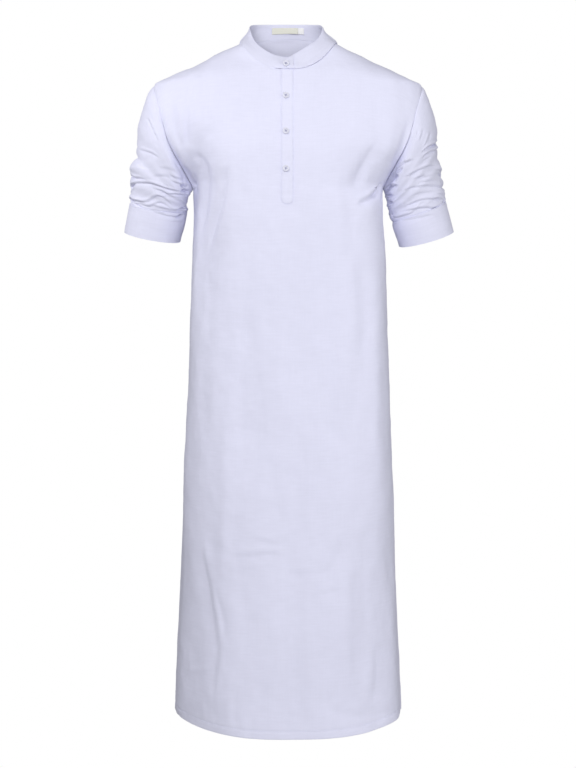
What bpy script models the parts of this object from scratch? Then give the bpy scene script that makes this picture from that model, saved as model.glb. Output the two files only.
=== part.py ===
"""Thobe robe: a long cotton robe with a stand collar, a half placket and pushed-up sleeves.

It keeps the hollow form that it has when worn. The front faces -Y, the wearer's left is +X
and up is +Z. The origin lies between the two points where the shoulders meet the neck.
Metres throughout.
"""

from collections import namedtuple
from math import pi

import bmesh
import bpy
import numpy as np
from mathutils import Vector

# ------------------------------------------------------------------ driving sizes
CLOTH = 0.0012                  # wall of the panels and the sleeves
COLLAR_WALL = 0.0014
CUFF_WALL = 0.0024              # the cuff is turned back, so it is two layers
TRIM_WALL = 0.0012              # placket strips
LABEL_WALL = 0.0010
SEAM_GAP = 0.0003               # between two pieces that are sewn together
SHOULDER_GAP = 0.0005           # along the shoulders, where the walls lean together
COLLAR_GAP = 0.0005             # and under the collar band, for the same reason

FRONT, BACK = -1, 1             # sign of y
RIGHT, LEFT = -1, 1             # the wearer's sides, sign of x

NECK_COLUMNS = 6                # of each panel, from the centre line to the neck's side
NECK_CROWD = 1.35               # over 1, they are closer together near the shoulder
SHOULDER_COLUMNS = 4            # and from there to the shoulder's tip
ARMHOLE_ROWS = 12
SEAM_ROW = 0.035                # a further row this close under the shoulders' seam
SIDE_ROWS = 13
SLEEVE_ROWS = 14
CUFF_ROWS = 2

BODY_ROUNDNESS = 2.4            # 2 is an ellipse, more is squarer

# The body's girth. Above the underarm the half width is that of the shoulders,
# which the armhole cuts short.
BodyLevel = namedtuple("BodyLevel", "z half_width front_depth back_depth")
BODY = (
    BodyLevel(0.030, 0.0880, 0.050, 0.0560),
    BodyLevel(0.004, 0.0895, 0.059, 0.0520),
    BodyLevel(-0.011, 0.1220, 0.065, 0.0530),
    BodyLevel(-0.033, 0.1660, 0.073, 0.0660),
    BodyLevel(-0.057, 0.2200, 0.085, 0.0770),
    BodyLevel(-0.069, 0.2420, 0.089, 0.0820),
    BodyLevel(-0.094, 0.2520, 0.097, 0.0920),
    BodyLevel(-0.130, 0.2600, 0.107, 0.1010),
    BodyLevel(-0.166, 0.2540, 0.115, 0.1070),
    BodyLevel(-0.198, 0.2360, 0.121, 0.1110),
    BodyLevel(-0.221, 0.2100, 0.123, 0.1120),
    BodyLevel(-0.244, 0.1830, 0.1245, 0.1120),
    BodyLevel(-0.262, 0.1720, 0.125, 0.1110),
    BodyLevel(-0.300, 0.1710, 0.125, 0.1080),
    BodyLevel(-0.390, 0.1740, 0.123, 0.1020),
    BodyLevel(-0.462, 0.1765, 0.122, 0.1000),
    BodyLevel(-0.608, 0.1810, 0.126, 0.1150),
    BodyLevel(-0.754, 0.1866, 0.134, 0.1260),
    BodyLevel(-0.899, 0.1930, 0.143, 0.1370),
    BodyLevel(-1.045, 0.1993, 0.153, 0.1480),
    BodyLevel(-1.230, 0.2062, 0.163, 0.1600),
)

# The top edge of a panel on its centre line; the shoulders' seam is where the girth closes.
NECK_CENTRE_Z = {FRONT: -0.057, BACK: 0.022}
NECK_SIDE_Z = 0.004
NECK_SWEEP = {FRONT: 2.7, BACK: 2.0}        # how late the neck seam turns up to the shoulder

# The armhole, from the shoulder's tip (down 0) to the underarm (1): how far it has come
# towards the front or the back, as a share of the body's depth there.
TIP_X, TIP_Z = 0.2420, -0.0690
ArmholeLevel = namedtuple("ArmholeLevel", "down reach")
ARMHOLE = (
    ArmholeLevel(0.000, 0.000),
    ArmholeLevel(0.234, 0.431),
    ArmholeLevel(0.380, 0.583),
    ArmholeLevel(0.501, 0.605),
    ArmholeLevel(0.609, 0.580),
    ArmholeLevel(0.695, 0.470),
    ArmholeLevel(0.803, 0.259),
    ArmholeLevel(1.000, 0.000),
)

# From the underarm to the hem: the side seam's height and the same level at the centre.
SideLevel = namedtuple("SideLevel", "side_z front_z back_z")
SIDE_SEAM = (
    SideLevel(-0.262, -0.272, -0.262),
    SideLevel(-0.400, -0.402, -0.400),
    SideLevel(-0.800, -0.800, -0.800),
    SideLevel(-1.060, -1.063, -1.062),
    SideLevel(-1.206, -1.229, -1.222),
)
HEM_SWEEP = 2.6

# Soft troughs along a curve through three points (x, z); a negative depth is a ridge.
Fold = namedtuple("Fold", "x0 z0 x1 z1 x2 z2 width depth")
FRONT_FOLDS = (
    Fold(-0.156, -0.90, -0.128, -1.08, -0.112, -1.25, 0.026, 0.0065),
    Fold(0.118, -0.92, 0.120, -1.04, 0.122, -1.25, 0.024, 0.0040),
    Fold(0.158, -1.04, 0.160, -1.13, 0.158, -1.25, 0.022, 0.0040),
    Fold(-0.121, -0.29, -0.131, -0.37, -0.125, -0.46, 0.026, 0.0040),
    Fold(0.110, -0.28, 0.131, -0.24, 0.152, -0.17, 0.022, 0.0035),
    Fold(-0.060, -0.46, -0.066, -0.62, -0.060, -0.78, 0.030, 0.0025),
)
BACK_FOLDS = (
    Fold(-0.085, -0.35, -0.100, -0.75, -0.098, -1.25, 0.034, 0.0065),
    Fold(0.040, -0.50, 0.052, -0.85, 0.048, -1.25, 0.034, 0.0050),
    Fold(0.128, -0.60, 0.136, -0.90, 0.140, -1.25, 0.030, 0.0060),
    Fold(-0.150, -0.20, -0.120, -0.27, -0.095, -0.36, 0.026, 0.0045),
    Fold(0.150, -0.20, 0.118, -0.28, 0.092, -0.37, 0.026, 0.0045),
)
SEAM_CALM = 0.05                # share of a panel's half width where folds die out at a seam

# A sleeve's slanted rings, from the armhole (along 0) to the cuff's seam (1) and its rim.
# tip is the outer side, pit the side under the arm; tilt lowers the front of the ring.
Ring = namedtuple("Ring", "along tip_x tip_z pit_x pit_z centre_y front back tilt")
CUFF_SEAM, CUFF_RIM = 1.0, 1.25
RIGHT_RINGS = (
    Ring(0.00, 0.2420, -0.0690, 0.1720, -0.2620, 0.000, 0.072, 0.066, 0.00),
    Ring(0.03, 0.2461, -0.0722, 0.1725, -0.2628, 0.000, 0.073, 0.067, 0.00),
    Ring(0.10, 0.2542, -0.0845, 0.1740, -0.2645, 0.000, 0.074, 0.069, 0.00),
    Ring(0.22, 0.2635, -0.1045, 0.1765, -0.2670, 0.001, 0.075, 0.070, 0.02),
    Ring(0.38, 0.2715, -0.1320, 0.1795, -0.2710, 0.003, 0.073, 0.069, 0.05),
    Ring(0.55, 0.2765, -0.1700, 0.1820, -0.2760, 0.007, 0.068, 0.065, 0.10),
    Ring(0.75, 0.2845, -0.2190, 0.1840, -0.2840, 0.013, 0.061, 0.058, 0.15),
    Ring(0.90, 0.2885, -0.2620, 0.1845, -0.2940, 0.018, 0.053, 0.052, 0.18),
    Ring(1.00, 0.2905, -0.2871, 0.1850, -0.3018, 0.021, 0.050, 0.049, 0.20),
    Ring(1.25, 0.3004, -0.3366, 0.1978, -0.3549, 0.030, 0.049, 0.048, 0.22),
)
LEFT_RINGS = (
    Ring(0.00, 0.2420, -0.0690, 0.1720, -0.2620, 0.000, 0.072, 0.066, 0.00),
    Ring(0.03, 0.2459, -0.0722, 0.1725, -0.2628, 0.000, 0.073, 0.067, 0.00),
    Ring(0.10, 0.2530, -0.0845, 0.1740, -0.2650, 0.000, 0.074, 0.069, 0.00),
    Ring(0.22, 0.2612, -0.1045, 0.1760, -0.2685, 0.001, 0.075, 0.070, 0.02),
    Ring(0.38, 0.2692, -0.1320, 0.1780, -0.2735, 0.003, 0.073, 0.069, 0.05),
    Ring(0.55, 0.2738, -0.1700, 0.1800, -0.2805, 0.007, 0.068, 0.065, 0.10),
    Ring(0.75, 0.2810, -0.2140, 0.1825, -0.2920, 0.013, 0.061, 0.058, 0.15),
    Ring(0.90, 0.2868, -0.2580, 0.1860, -0.3060, 0.018, 0.053, 0.052, 0.18),
    Ring(1.00, 0.2894, -0.2835, 0.1887, -0.3164, 0.021, 0.050, 0.049, 0.20),
    Ring(1.25, 0.3031, -0.3366, 0.2042, -0.3641, 0.030, 0.049, 0.048, 0.22),
)
RINGS = {RIGHT: RIGHT_RINGS, LEFT: LEFT_RINGS}
CAP_END = 0.5                   # along the sleeve, where its rings have become plain ovals
ARMHOLE_AXIS = Vector((0.94, 0.0, -0.34))

# Rolls of pushed-up cloth round a sleeve. skew moves a roll along the sleeve between its
# outer side (+) and the underarm (-); facing is the angle where it is highest, from the
# outer side by way of the front; grip is how fast it dies away from there.
Roll = namedtuple("Roll", "along skew width height facing grip")
ROLLS = {
    RIGHT: (
        Roll(0.60, 0.02, 0.050, 0.0030, 0.3, 0.6),
        Roll(0.72, -0.02, 0.040, 0.0040, 0.5, 0.4),
        Roll(0.83, 0.01, 0.036, 0.0038, 0.2, 0.3),
        Roll(0.93, 0.01, 0.032, 0.0034, 2.4, 0.2),
        Roll(0.40, 0.05, 0.060, 0.0025, 5.2, 0.8),
    ),
    LEFT: (
        Roll(0.52, -0.04, 0.050, 0.0030, 0.4, 0.6),
        Roll(0.66, -0.05, 0.040, 0.0036, 2.0, 0.4),
        Roll(0.78, -0.03, 0.036, 0.0038, 1.2, 0.3),
        Roll(0.91, -0.02, 0.034, 0.0036, 0.6, 0.2),
        Roll(0.42, 0.03, 0.060, 0.0025, 4.9, 0.8),
    ),
}

# The collar band leans in at the front and stands up at the back.
COLLAR_TOP_HALF_WIDTH = 0.0695
COLLAR_TOP_SHIFT = -0.0035      # the neck opening sits a little to the wearer's right
COLLAR_TOP_Y = {FRONT: -0.066, BACK: 0.060}
COLLAR_TOP_Z = {FRONT: -0.032, BACK: 0.052}
COLLAR_SIDE_Z = 0.033
COLLAR_SWEEP = {FRONT: 2.4, BACK: 2.0}
COLLAR_ROWS = (0.0, 0.15, 0.55, 1.0)
COLLAR_FOOT = 0.005             # where a panel is steeper, the band's foot follows it this far
COLLAR_BLEND = 0.1              # and fully from this much steeper
LAP_LEFT_END_X = -0.012         # the wearer's left end, underneath
LAP_RIGHT_END_X = 0.0107        # the wearer's right end, on top
LAP_LIFT = 0.0020
LAP_START_X, LAP_FULL_X = -0.050, -0.014

STRIP_SEAT = 0.0004             # the placket's over strip over the panel
PLACKET_RIGHT_X, PLACKET_LEFT_X = -0.0114, 0.0088
PLACKET_FOOT_Z = -0.2997
PLACKET_FOOT_RADIUS = 0.007
UNDER_STRIP_TOP_Z, UNDER_STRIP_FOOT_Z = -0.0600, -0.2930
SLIT_WIDTH = 0.0006

BUTTON_RADIUS = 0.0060
BUTTON_THICKNESS = 0.0024
BUTTON_EDGE = 0.0006
BUTTON_X = -0.0036
BUTTON_SEAT = 0.0003            # a button's underside over flat cloth
COLLAR_BUTTON_SEAT = 0.0009     # and over the curve of the collar
COLLAR_BUTTON_HEIGHT = 0.43     # up the collar band
PLACKET_BUTTON_Z = (-0.1067, -0.1716, -0.2379)

LABEL_X = (-0.0296, 0.0185)
SIZE_TAB_X = (0.0188, 0.0296)
LABEL_HEIGHT = (0.40, 0.55, 0.82)       # up the collar band

COLLECTION = "thobe robe"

NECK_SHARE = NECK_COLUMNS / (NECK_COLUMNS + SHOULDER_COLUMNS)
MIDDLE = NECK_COLUMNS + SHOULDER_COLUMNS    # the column of a panel's centre line


# ------------------------------------------------------------------ curves
def column(table, name):
    """One named column of a table, as an array."""
    return np.array([getattr(row, name) for row in table], float)


def smooth(x, xs, ys):
    """A cubic curve through the points (xs, ys), without overshoot, read at x."""
    order = np.argsort(xs)
    xs, ys = np.asarray(xs, float)[order], np.asarray(ys, float)[order]
    step = np.diff(xs)
    rise = np.diff(ys) / step
    product = rise[:-1] * rise[1:]
    mean = np.where(np.abs(rise[:-1] + rise[1:]) > 0, rise[:-1] + rise[1:], 1)
    slope = np.concatenate([rise[:1], np.where(product > 0, 2 * product / mean, 0), rise[-1:]])
    x = np.clip(x, xs[0], xs[-1])
    i = np.clip(np.searchsorted(xs, x) - 1, 0, len(step) - 1)
    t = (x - xs[i]) / step[i]
    return (ys[i] * (1 + 2 * t) * (1 - t) ** 2 + ys[i + 1] * t * t * (3 - 2 * t)
            + step[i] * (slope[i] * t * (1 - t) ** 2 - slope[i + 1] * t * t * (1 - t)))


def ease(t):
    """0 to 1 with level ends."""
    t = np.clip(t, 0, 1)
    return t * t * (3 - 2 * t)


def at_x(line, x):
    """The points of a polyline at the given x, on its straight stretches."""
    order = np.argsort(line[:, 0])
    return np.stack([np.interp(x, line[order, 0], line[order, axis]) for axis in range(3)], -1)


def unit(vectors):
    return vectors / np.linalg.norm(vectors, axis=-1, keepdims=True)


def normals(grid, outward):
    """Unit normals of a grid of points; outward is 1 or -1."""
    return unit(np.cross(np.gradient(grid, axis=0), np.gradient(grid, axis=1))) * outward


# ------------------------------------------------------------------ body panels
def half_width(z):
    return smooth(z, column(BODY, "z"), column(BODY, "half_width"))


def depth(face, z):
    return smooth(z, column(BODY, "z"), column(BODY, "front_depth" if face == FRONT else "back_depth"))


def swing_share(turn):
    """Share of a half width at a turn (-1 to 1) round the girth from the centre line."""
    return np.sign(turn) * np.abs(np.sin(turn * pi / 2)) ** (2 / BODY_ROUNDNESS)


def on_body(face, x, z):
    """The body's smooth surface at x, z; it closes to y = 0 where x is the half width."""
    open_part = np.clip(1 - (np.abs(x) / half_width(z)) ** BODY_ROUNDNESS, 0, 1)
    return np.stack([x, face * depth(face, z) * open_part ** (1 / BODY_ROUNDNESS), z], -1)


def top_edge(face, across):
    """x and z of a panel's neck seam and shoulder seams."""
    neck_side = half_width(NECK_SIDE_Z)
    turn = 1 - (1 - np.minimum(np.abs(across) / NECK_SHARE, 1)) ** NECK_CROWD
    share = swing_share(turn)
    rise = NECK_SIDE_Z - NECK_CENTRE_Z[face]
    neck_z = NECK_CENTRE_Z[face] + rise * share ** NECK_SWEEP[face]
    out = np.clip((np.abs(across) - NECK_SHARE) / (1 - NECK_SHARE), 0, 1)
    width = neck_side * share + (TIP_X - neck_side) * out
    heights = np.linspace(NECK_SIDE_Z, TIP_Z, 60)
    shoulder_z = smooth(width, half_width(heights), heights)
    return np.sign(across) * width, np.where(out > 0, shoulder_z, neck_z)


def panel_base(face, down, across):
    """The panel's smooth outer surface, a row for each down and a column for each across.

    down is 0 at the neck and shoulders, 1 at the underarm and 2 at the hem; across runs
    from -1 to 1, the wearer's right to left.
    """
    across = np.asarray(across, float)
    top_x, top_z = top_edge(face, across)
    lower_share = swing_share(across)
    rows = []
    for level in down:
        side = smooth(max(level - 1, 0), side_steps(), column(SIDE_SEAM, "side_z"))
        centre = smooth(max(level - 1, 0), side_steps(),
                        column(SIDE_SEAM, "front_z" if face == FRONT else "back_z"))
        z = centre + (side - centre) * np.abs(lower_share) ** HEM_SWEEP
        x = half_width(side) * lower_share
        if level < 1:
            done = (1 - np.cos(pi * level)) / 2
            reach = smooth(level, column(ARMHOLE, "down"), column(ARMHOLE, "reach"))
            edge_x = (half_width(TIP_Z + (SIDE_SEAM[0].side_z - TIP_Z) * done)
                      * (1 - reach ** BODY_ROUNDNESS) ** (1 / BODY_ROUNDNESS))
            share = top_x / TIP_X * (1 - done) + lower_share * done
            x, z = edge_x * share, top_z + (z - top_z) * done
        rows.append(on_body(face, x, z))
    return np.array(rows)


def side_steps():
    """How far down the side seam each of its levels lies, from 0 to 1."""
    side_z = column(SIDE_SEAM, "side_z")
    return (side_z[0] - side_z) / (side_z[0] - side_z[-1])


def fold_depths(folds, x, z):
    """How far the folds draw the cloth in at each x, z."""
    drawn_in = np.zeros_like(x)
    steps = np.linspace(0, 1, 25)
    for fold in folds:
        bend_x = 2 * fold.x1 - (fold.x0 + fold.x2) / 2
        bend_z = 2 * fold.z1 - (fold.z0 + fold.z2) / 2
        line_x = (1 - steps) ** 2 * fold.x0 + 2 * steps * (1 - steps) * bend_x + steps ** 2 * fold.x2
        line_z = (1 - steps) ** 2 * fold.z0 + 2 * steps * (1 - steps) * bend_z + steps ** 2 * fold.z2
        away = np.hypot(x[..., None] - line_x, z[..., None] - line_z)
        nearest = away.argmin(-1)
        body = ease(np.minimum(steps, 1 - steps) * 4)[nearest]
        drawn_in += fold.depth * body * np.exp(-(away.min(-1) / fold.width) ** 2)
    return drawn_in


def panel_across():
    """The columns of both panels, from the wearer's right to left."""
    return np.linspace(-1, 1, 2 * (NECK_COLUMNS + SHOULDER_COLUMNS) + 1)


def armhole_down():
    """The rows of both panels beside an armhole."""
    return np.concatenate([[0.0, SEAM_ROW], np.linspace(0, 1, ARMHOLE_ROWS + 1)[1:]])


def panel_down():
    """The rows of both panels, top to hem."""
    return np.concatenate([armhole_down(), np.linspace(1, 2, SIDE_ROWS + 1)[1:]])


def panel_grid(face):
    """Outer surface of the front or the back with its folds."""
    across = panel_across()
    grid = panel_base(face, panel_down(), across)
    calm = ease((1 - np.abs(across)) / (4 * SEAM_CALM))[None, :]
    folds = FRONT_FOLDS if face == FRONT else BACK_FOLDS
    drawn_in = fold_depths(folds, grid[..., 0], grid[..., 2]) * calm
    grid = grid - normals(grid, -face) * drawn_in[..., None]
    at_shoulder = np.clip(1 - panel_down(), 0, 1)[:, None]
    grid[..., 1] += face * (SEAM_GAP + (SHOULDER_GAP - SEAM_GAP) * at_shoulder) / 2
    return grid


# ------------------------------------------------------------------ sleeves and cuffs
def armhole_loop(side):
    """Armhole edge: from the shoulder tip down the front, round the underarm, up the back."""
    front = panel_base(FRONT, armhole_down(), [1.0])[:, 0]
    back = panel_base(BACK, armhole_down(), [1.0])[:, 0]
    loop = np.concatenate([front, back[-2:0:-1]])
    loop[:, 0] *= side
    return loop


def ring_angles():
    """Where the points of the armhole come on an oval: 0 outside, a quarter turn in front."""
    down = armhole_down()
    return pi * np.concatenate([down, 2 - down[-2:0:-1]])


def ring_points(side, along, angles):
    """Plain oval rings of a sleeve: a row for each along."""
    rings = RINGS[side]
    value = {name: smooth(along, column(rings, "along"), column(rings, name))[:, None]
             for name in Ring._fields[1:]}
    out, front = np.cos(angles)[None, :], np.sin(angles)[None, :]
    reach = np.where(front > 0, value["front"], value["back"]) * front
    x = (value["tip_x"] + value["pit_x"]) / 2 + (value["tip_x"] - value["pit_x"]) / 2 * out
    z = (value["tip_z"] + value["pit_z"]) / 2 + (value["tip_z"] - value["pit_z"]) / 2 * out
    y = value["centre_y"] - reach * np.cos(value["tilt"])
    return np.stack([side * x, y, z - reach * np.sin(value["tilt"])], -1)


def roll_heights(side, along, angles):
    """How far the rolls of cloth stand out, for each ring and angle."""
    along, angles = along[:, None], angles[None, :]
    height = np.zeros(np.broadcast(along, angles).shape)
    for roll in ROLLS[side]:
        middle = roll.along + roll.skew * np.cos(angles)
        around = (0.5 + 0.5 * np.cos(angles - roll.facing)) ** roll.grip
        height += roll.height * around * np.exp(-((along - middle) / roll.width) ** 2)
    return height * ease((CUFF_SEAM - along) / 0.06)


def sleeve_grid(side):
    """Outer surface of a sleeve: rings from the armhole to the cuff's seam."""
    angles = ring_angles()
    along = np.concatenate([[0.0, 0.03], np.linspace(0.10, CUFF_SEAM, SLEEVE_ROWS - 1)])
    grid = ring_points(side, along, angles)
    cap = 1 - ease(along / CAP_END)
    grid = grid + (armhole_loop(side) - grid[0])[None] * cap[:, None, None]
    wrapped = np.concatenate([grid[:, -1:], grid, grid[:, :1]], axis=1)
    grid = grid + normals(wrapped, -side)[:, 1:-1] * roll_heights(side, along, angles)[..., None]
    return grid + gap_at_armhole(side)


def gap_at_armhole(side):
    return np.array([side * ARMHOLE_AXIS.x, 0.0, ARMHOLE_AXIS.z]) * SEAM_GAP


def cuff_grid(side):
    """Outer surface of a cuff, a seam gap below the sleeve."""
    grid = ring_points(side, np.linspace(CUFF_SEAM, CUFF_RIM, CUFF_ROWS + 1), ring_angles())
    down = (grid[-1] - grid[0]).mean(0)
    return grid + gap_at_armhole(side) + down / np.linalg.norm(down) * SEAM_GAP


# ------------------------------------------------------------------ collar
def neck_columns():
    """The face and across of each point of the neck seam, from the front over the wearer's
    left shoulder, round the back and over the right shoulder to the front again."""
    steps = np.arange(1, NECK_COLUMNS + 1) * NECK_SHARE / NECK_COLUMNS
    left_front = [(FRONT, step) for step in steps]
    back = [(BACK, step) for step in [*steps[-2::-1], 0.0, *-steps[:-1]]]
    right_front = [(FRONT, -step) for step in steps[::-1]]
    return left_front, back, right_front


def panel_rise(face, across):
    """The panel's own direction across the neck seam, upwards."""
    near = np.clip(across, 0.02 - NECK_SHARE, NECK_SHARE - 0.02)
    patch = panel_base(face, [0.0, 0.05], [near - 0.01, near + 0.01])
    along_seam = patch[0, 1] - patch[0, 0]
    outward = np.cross(along_seam, patch[1, 0] - patch[0, 0])
    rise = unit(np.cross(along_seam, outward))
    return rise * np.sign(rise[2])


def collar_column(face, across):
    """The neck seam, the panel's direction there and the collar's top edge, at one column."""
    foot = panel_base(face, [0.0], [across])[0, 0]
    share = abs(foot[0]) / half_width(NECK_SIDE_Z)
    open_part = max(1 - share ** BODY_ROUNDNESS, 0) ** (1 / BODY_ROUNDNESS)
    top_z = COLLAR_TOP_Z[face] + (COLLAR_SIDE_Z - COLLAR_TOP_Z[face]) * share ** COLLAR_SWEEP[face]
    top = np.array([np.sign(across) * COLLAR_TOP_HALF_WIDTH * share + COLLAR_TOP_SHIFT,
                    COLLAR_TOP_Y[face] * open_part, top_z])
    return foot, panel_rise(face, across), top


def collar_grid():
    """Outer surface of the collar band; its first column is the end that lies underneath."""
    left_front, back, right_front = neck_columns()
    beside = NECK_SHARE / NECK_COLUMNS
    middle = np.array([collar_column(FRONT, u) for u in (-beside, 0.0, beside)])

    def lap_column(x):
        return [at_x(middle[:, 0], x), middle[1, 1], at_x(middle[:, 2], x + COLLAR_TOP_SHIFT)]

    columns = [lap_column(x) for x in (LAP_LEFT_END_X, 0.0)]
    columns += [collar_column(face, u) for face, u in left_front + back + right_front]
    columns += [lap_column(x) for x in (LAP_FULL_X, 0.0, LAP_RIGHT_END_X)]
    foot, rise, top = np.array(columns).transpose(1, 0, 2)

    heights = np.array(COLLAR_ROWS)[:, None, None]
    grid = foot[None] * (1 - heights) + top[None] * heights
    own = unit(top - foot)
    follow = ease((rise[:, 2] - own[:, 2]) / COLLAR_BLEND)[:, None]
    grid[1] = foot + unit(own * (1 - follow) + rise * follow) * COLLAR_FOOT

    on_top = np.arange(len(foot)) > len(foot) // 2
    lift = LAP_LIFT * on_top * ease((foot[:, 0] - LAP_START_X) / (LAP_FULL_X - LAP_START_X))
    lift = np.where(foot[:, 1] < 0, lift, 0)
    grid = grid + normals(grid, -1) * lift[None, :, None]
    grid[..., 2] += COLLAR_GAP
    return grid


# ------------------------------------------------------------------ what lies on the panels
def on_front(x, z, lift):
    """Points of the front panel beside its centre line, moved out by lift."""
    grid = panel_grid(FRONT)[::-1]
    line, beside = grid[:, MIDDLE], grid[:, MIDDLE + 1]
    points = []
    for one_x, one_z, one_lift in np.broadcast(x, z, lift):
        across = line + (beside - line) * (abs(one_x) / beside[:, :1])
        y = np.interp(one_z, across[:, 2], across[:, 1])
        slope = np.interp(one_z, across[:, 2], np.gradient(across[:, 1], across[:, 2]))
        outward = unit(np.array([0.0, -1.0, slope]))
        points.append(np.array([one_x, y, one_z]) + outward * one_lift)
    return np.array(points)


def strip_levels(top_z, foot_z):
    """Heights of a strip's rows: its ends and the panel's own rows between them."""
    rows = panel_grid(FRONT)[:, MIDDLE, 2]
    inner = rows[(rows < top_z - 0.002) & (rows > foot_z + PLACKET_FOOT_RADIUS + 0.002)]
    return np.concatenate([[top_z], inner])


def placket_over_grid():
    """The strip that shows, with a rounded foot."""
    straight = strip_levels(NECK_CENTRE_Z[FRONT], PLACKET_FOOT_Z)
    turns = np.radians((0, 30, 60, 90))
    rounded = PLACKET_FOOT_Z + PLACKET_FOOT_RADIUS * (1 - np.sin(turns))
    narrowing = PLACKET_FOOT_RADIUS * (1 - np.cos(turns))
    z = np.concatenate([straight, rounded])
    narrowing = np.concatenate([0 * straight, narrowing])
    lift = STRIP_SEAT + TRIM_WALL
    return np.stack([on_front(PLACKET_RIGHT_X + narrowing, z, lift), on_front(0.0, z, lift),
                     on_front(PLACKET_LEFT_X - narrowing, z, lift)], axis=1)


def placket_under_grid():
    """The button stand behind the slit."""
    z = np.concatenate([strip_levels(UNDER_STRIP_TOP_Z, UNDER_STRIP_FOOT_Z), [UNDER_STRIP_FOOT_Z]])
    reach = (PLACKET_LEFT_X - PLACKET_RIGHT_X) / 2
    columns = [on_front(x, z, -CLOTH - SEAM_GAP) for x in (-reach, 0.0, reach)]
    return np.stack(columns, axis=1)


def label_grid(x_range):
    """A label inside the back of the collar, from the collar's own points."""
    collar = collar_grid()
    inward = normals(collar, 1)
    behind = collar[0, :, 1] > 0.02
    inside = collar[:, behind] + inward[:, behind] * (COLLAR_WALL + SEAM_GAP)
    joints = [x for x in inside[0, :, 0] if x_range[0] + 0.003 < x < x_range[1] - 0.003]
    xs = np.array(sorted([*x_range, *joints]))
    rows = []
    for height in LABEL_HEIGHT:
        lower = max(i for i, row in enumerate(COLLAR_ROWS[:-1]) if row <= height)
        part = (height - COLLAR_ROWS[lower]) / (COLLAR_ROWS[lower + 1] - COLLAR_ROWS[lower])
        line = inside[lower] * (1 - part) + inside[lower + 1] * part
        rows.append(at_x(line, xs))
    return np.array(rows)


# ------------------------------------------------------------------ objects
def material(name, colour, roughness, metallic=0.0):
    made = bpy.data.materials.new(name)
    made.use_nodes = True
    shader = made.node_tree.nodes["Principled BSDF"]
    shader.inputs["Base Color"].default_value = (*colour, 1.0)
    shader.inputs["Roughness"].default_value = roughness
    shader.inputs["Metallic"].default_value = metallic
    return made


def cloth_object(collection, name, grid, finish, wall, outward=1, wrap=False, slit_rows=0):
    """A sheet through a grid of points (rows, columns), thickened on its inner side.

    outward is 1 where rows x columns turn to the outside; wrap joins the last column to the
    first; slit_rows opens the middle column down to that row.
    """
    rows, columns = grid.shape[:2]
    middle = columns // 2
    mesh = bmesh.new()
    verts = {(i, j, 0): mesh.verts.new(grid[i, j]) for i in range(rows) for j in range(columns)}
    for i in range(slit_rows):
        verts[i, middle, 0].co.x -= SLIT_WIDTH / 2
        verts[i, middle, 1] = mesh.verts.new(verts[i, middle, 0].co + Vector((SLIT_WIDTH, 0, 0)))

    def corner(i, j, past_slit):
        return verts[i, j, int(past_slit and j == middle and i < slit_rows)]

    for i in range(rows - 1):
        for j in range(columns if wrap else columns - 1):
            right = (j + 1) % columns
            past = j >= middle
            quad = [corner(i, j, past), corner(i, right, past),
                    corner(i + 1, right, past), corner(i + 1, j, past)]
            mesh.faces.new(quad if outward < 0 else quad[::-1])
    data = bpy.data.meshes.new(name)
    mesh.to_mesh(data)
    mesh.free()
    data.shade_smooth()
    data.materials.append(finish)
    made = bpy.data.objects.new(name, data)
    collection.objects.link(made)
    solidify = made.modifiers.new("cloth", "SOLIDIFY")
    solidify.thickness = wall
    solidify.offset = -1.0
    return made


def button_object(collection, name, centre, facing, seat, finish):
    """A round button whose underside is a seat off the cloth."""
    mesh = bmesh.new()
    bmesh.ops.create_cone(mesh, cap_ends=True, segments=16, radius1=BUTTON_RADIUS,
                          radius2=BUTTON_RADIUS, depth=BUTTON_THICKNESS)
    data = bpy.data.meshes.new(name)
    mesh.to_mesh(data)
    mesh.free()
    data.materials.append(finish)
    made = bpy.data.objects.new(name, data)
    collection.objects.link(made)
    facing = Vector(facing).normalized()
    made.location = Vector(centre) + facing * (BUTTON_THICKNESS / 2 + seat)
    made.rotation_euler = facing.to_track_quat("Z", "Y").to_euler()
    edge = made.modifiers.new("edge", "BEVEL")
    edge.width = BUTTON_EDGE
    edge.segments = 2
    edge.limit_method = "ANGLE"
    return made


def add_panels(collection, cloth):
    front = panel_grid(FRONT)
    slit_rows = int((front[:, MIDDLE, 2] > PLACKET_FOOT_Z).sum()) - 1
    cloth_object(collection, "front_panel", front, cloth, CLOTH, slit_rows=slit_rows)
    cloth_object(collection, "back_panel", panel_grid(BACK), cloth, CLOTH, outward=-1)


def add_sleeves(collection, cloth):
    for side, word in ((RIGHT, "right"), (LEFT, "left")):
        cloth_object(collection, f"sleeve_{word}", sleeve_grid(side), cloth, CLOTH,
                     outward=-side, wrap=True)
        cloth_object(collection, f"cuff_{word}", cuff_grid(side), cloth, CUFF_WALL,
                     outward=-side, wrap=True)


def add_collar(collection, cloth, label_cloth):
    cloth_object(collection, "collar_band", collar_grid(), cloth, COLLAR_WALL, outward=-1)
    for name, x_range in (("neck_label", LABEL_X), ("size_tab", SIZE_TAB_X)):
        cloth_object(collection, name, label_grid(x_range), label_cloth, LABEL_WALL)


def add_placket(collection, cloth):
    cloth_object(collection, "placket_over", placket_over_grid(), cloth, TRIM_WALL)
    cloth_object(collection, "placket_under", placket_under_grid(), cloth, TRIM_WALL)


def add_buttons(collection, finish):
    collar = collar_grid()[:, -3:]
    turn = normals(collar_grid(), -1)[:, -3:]
    height = np.interp(COLLAR_BUTTON_HEIGHT, COLLAR_ROWS, range(len(COLLAR_ROWS)))
    low, part = int(height), height % 1
    line = collar[low] * (1 - part) + collar[low + 1] * part
    button_object(collection, "button_1", at_x(line, BUTTON_X), turn[low, 1],
                  COLLAR_BUTTON_SEAT, finish)
    for number, z in enumerate(PLACKET_BUTTON_Z, start=2):
        foot, tip = on_front(BUTTON_X, np.array([z, z]), np.array([STRIP_SEAT + TRIM_WALL, 0.02]))
        button_object(collection, f"button_{number}", foot, tip - foot, BUTTON_SEAT, finish)


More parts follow.
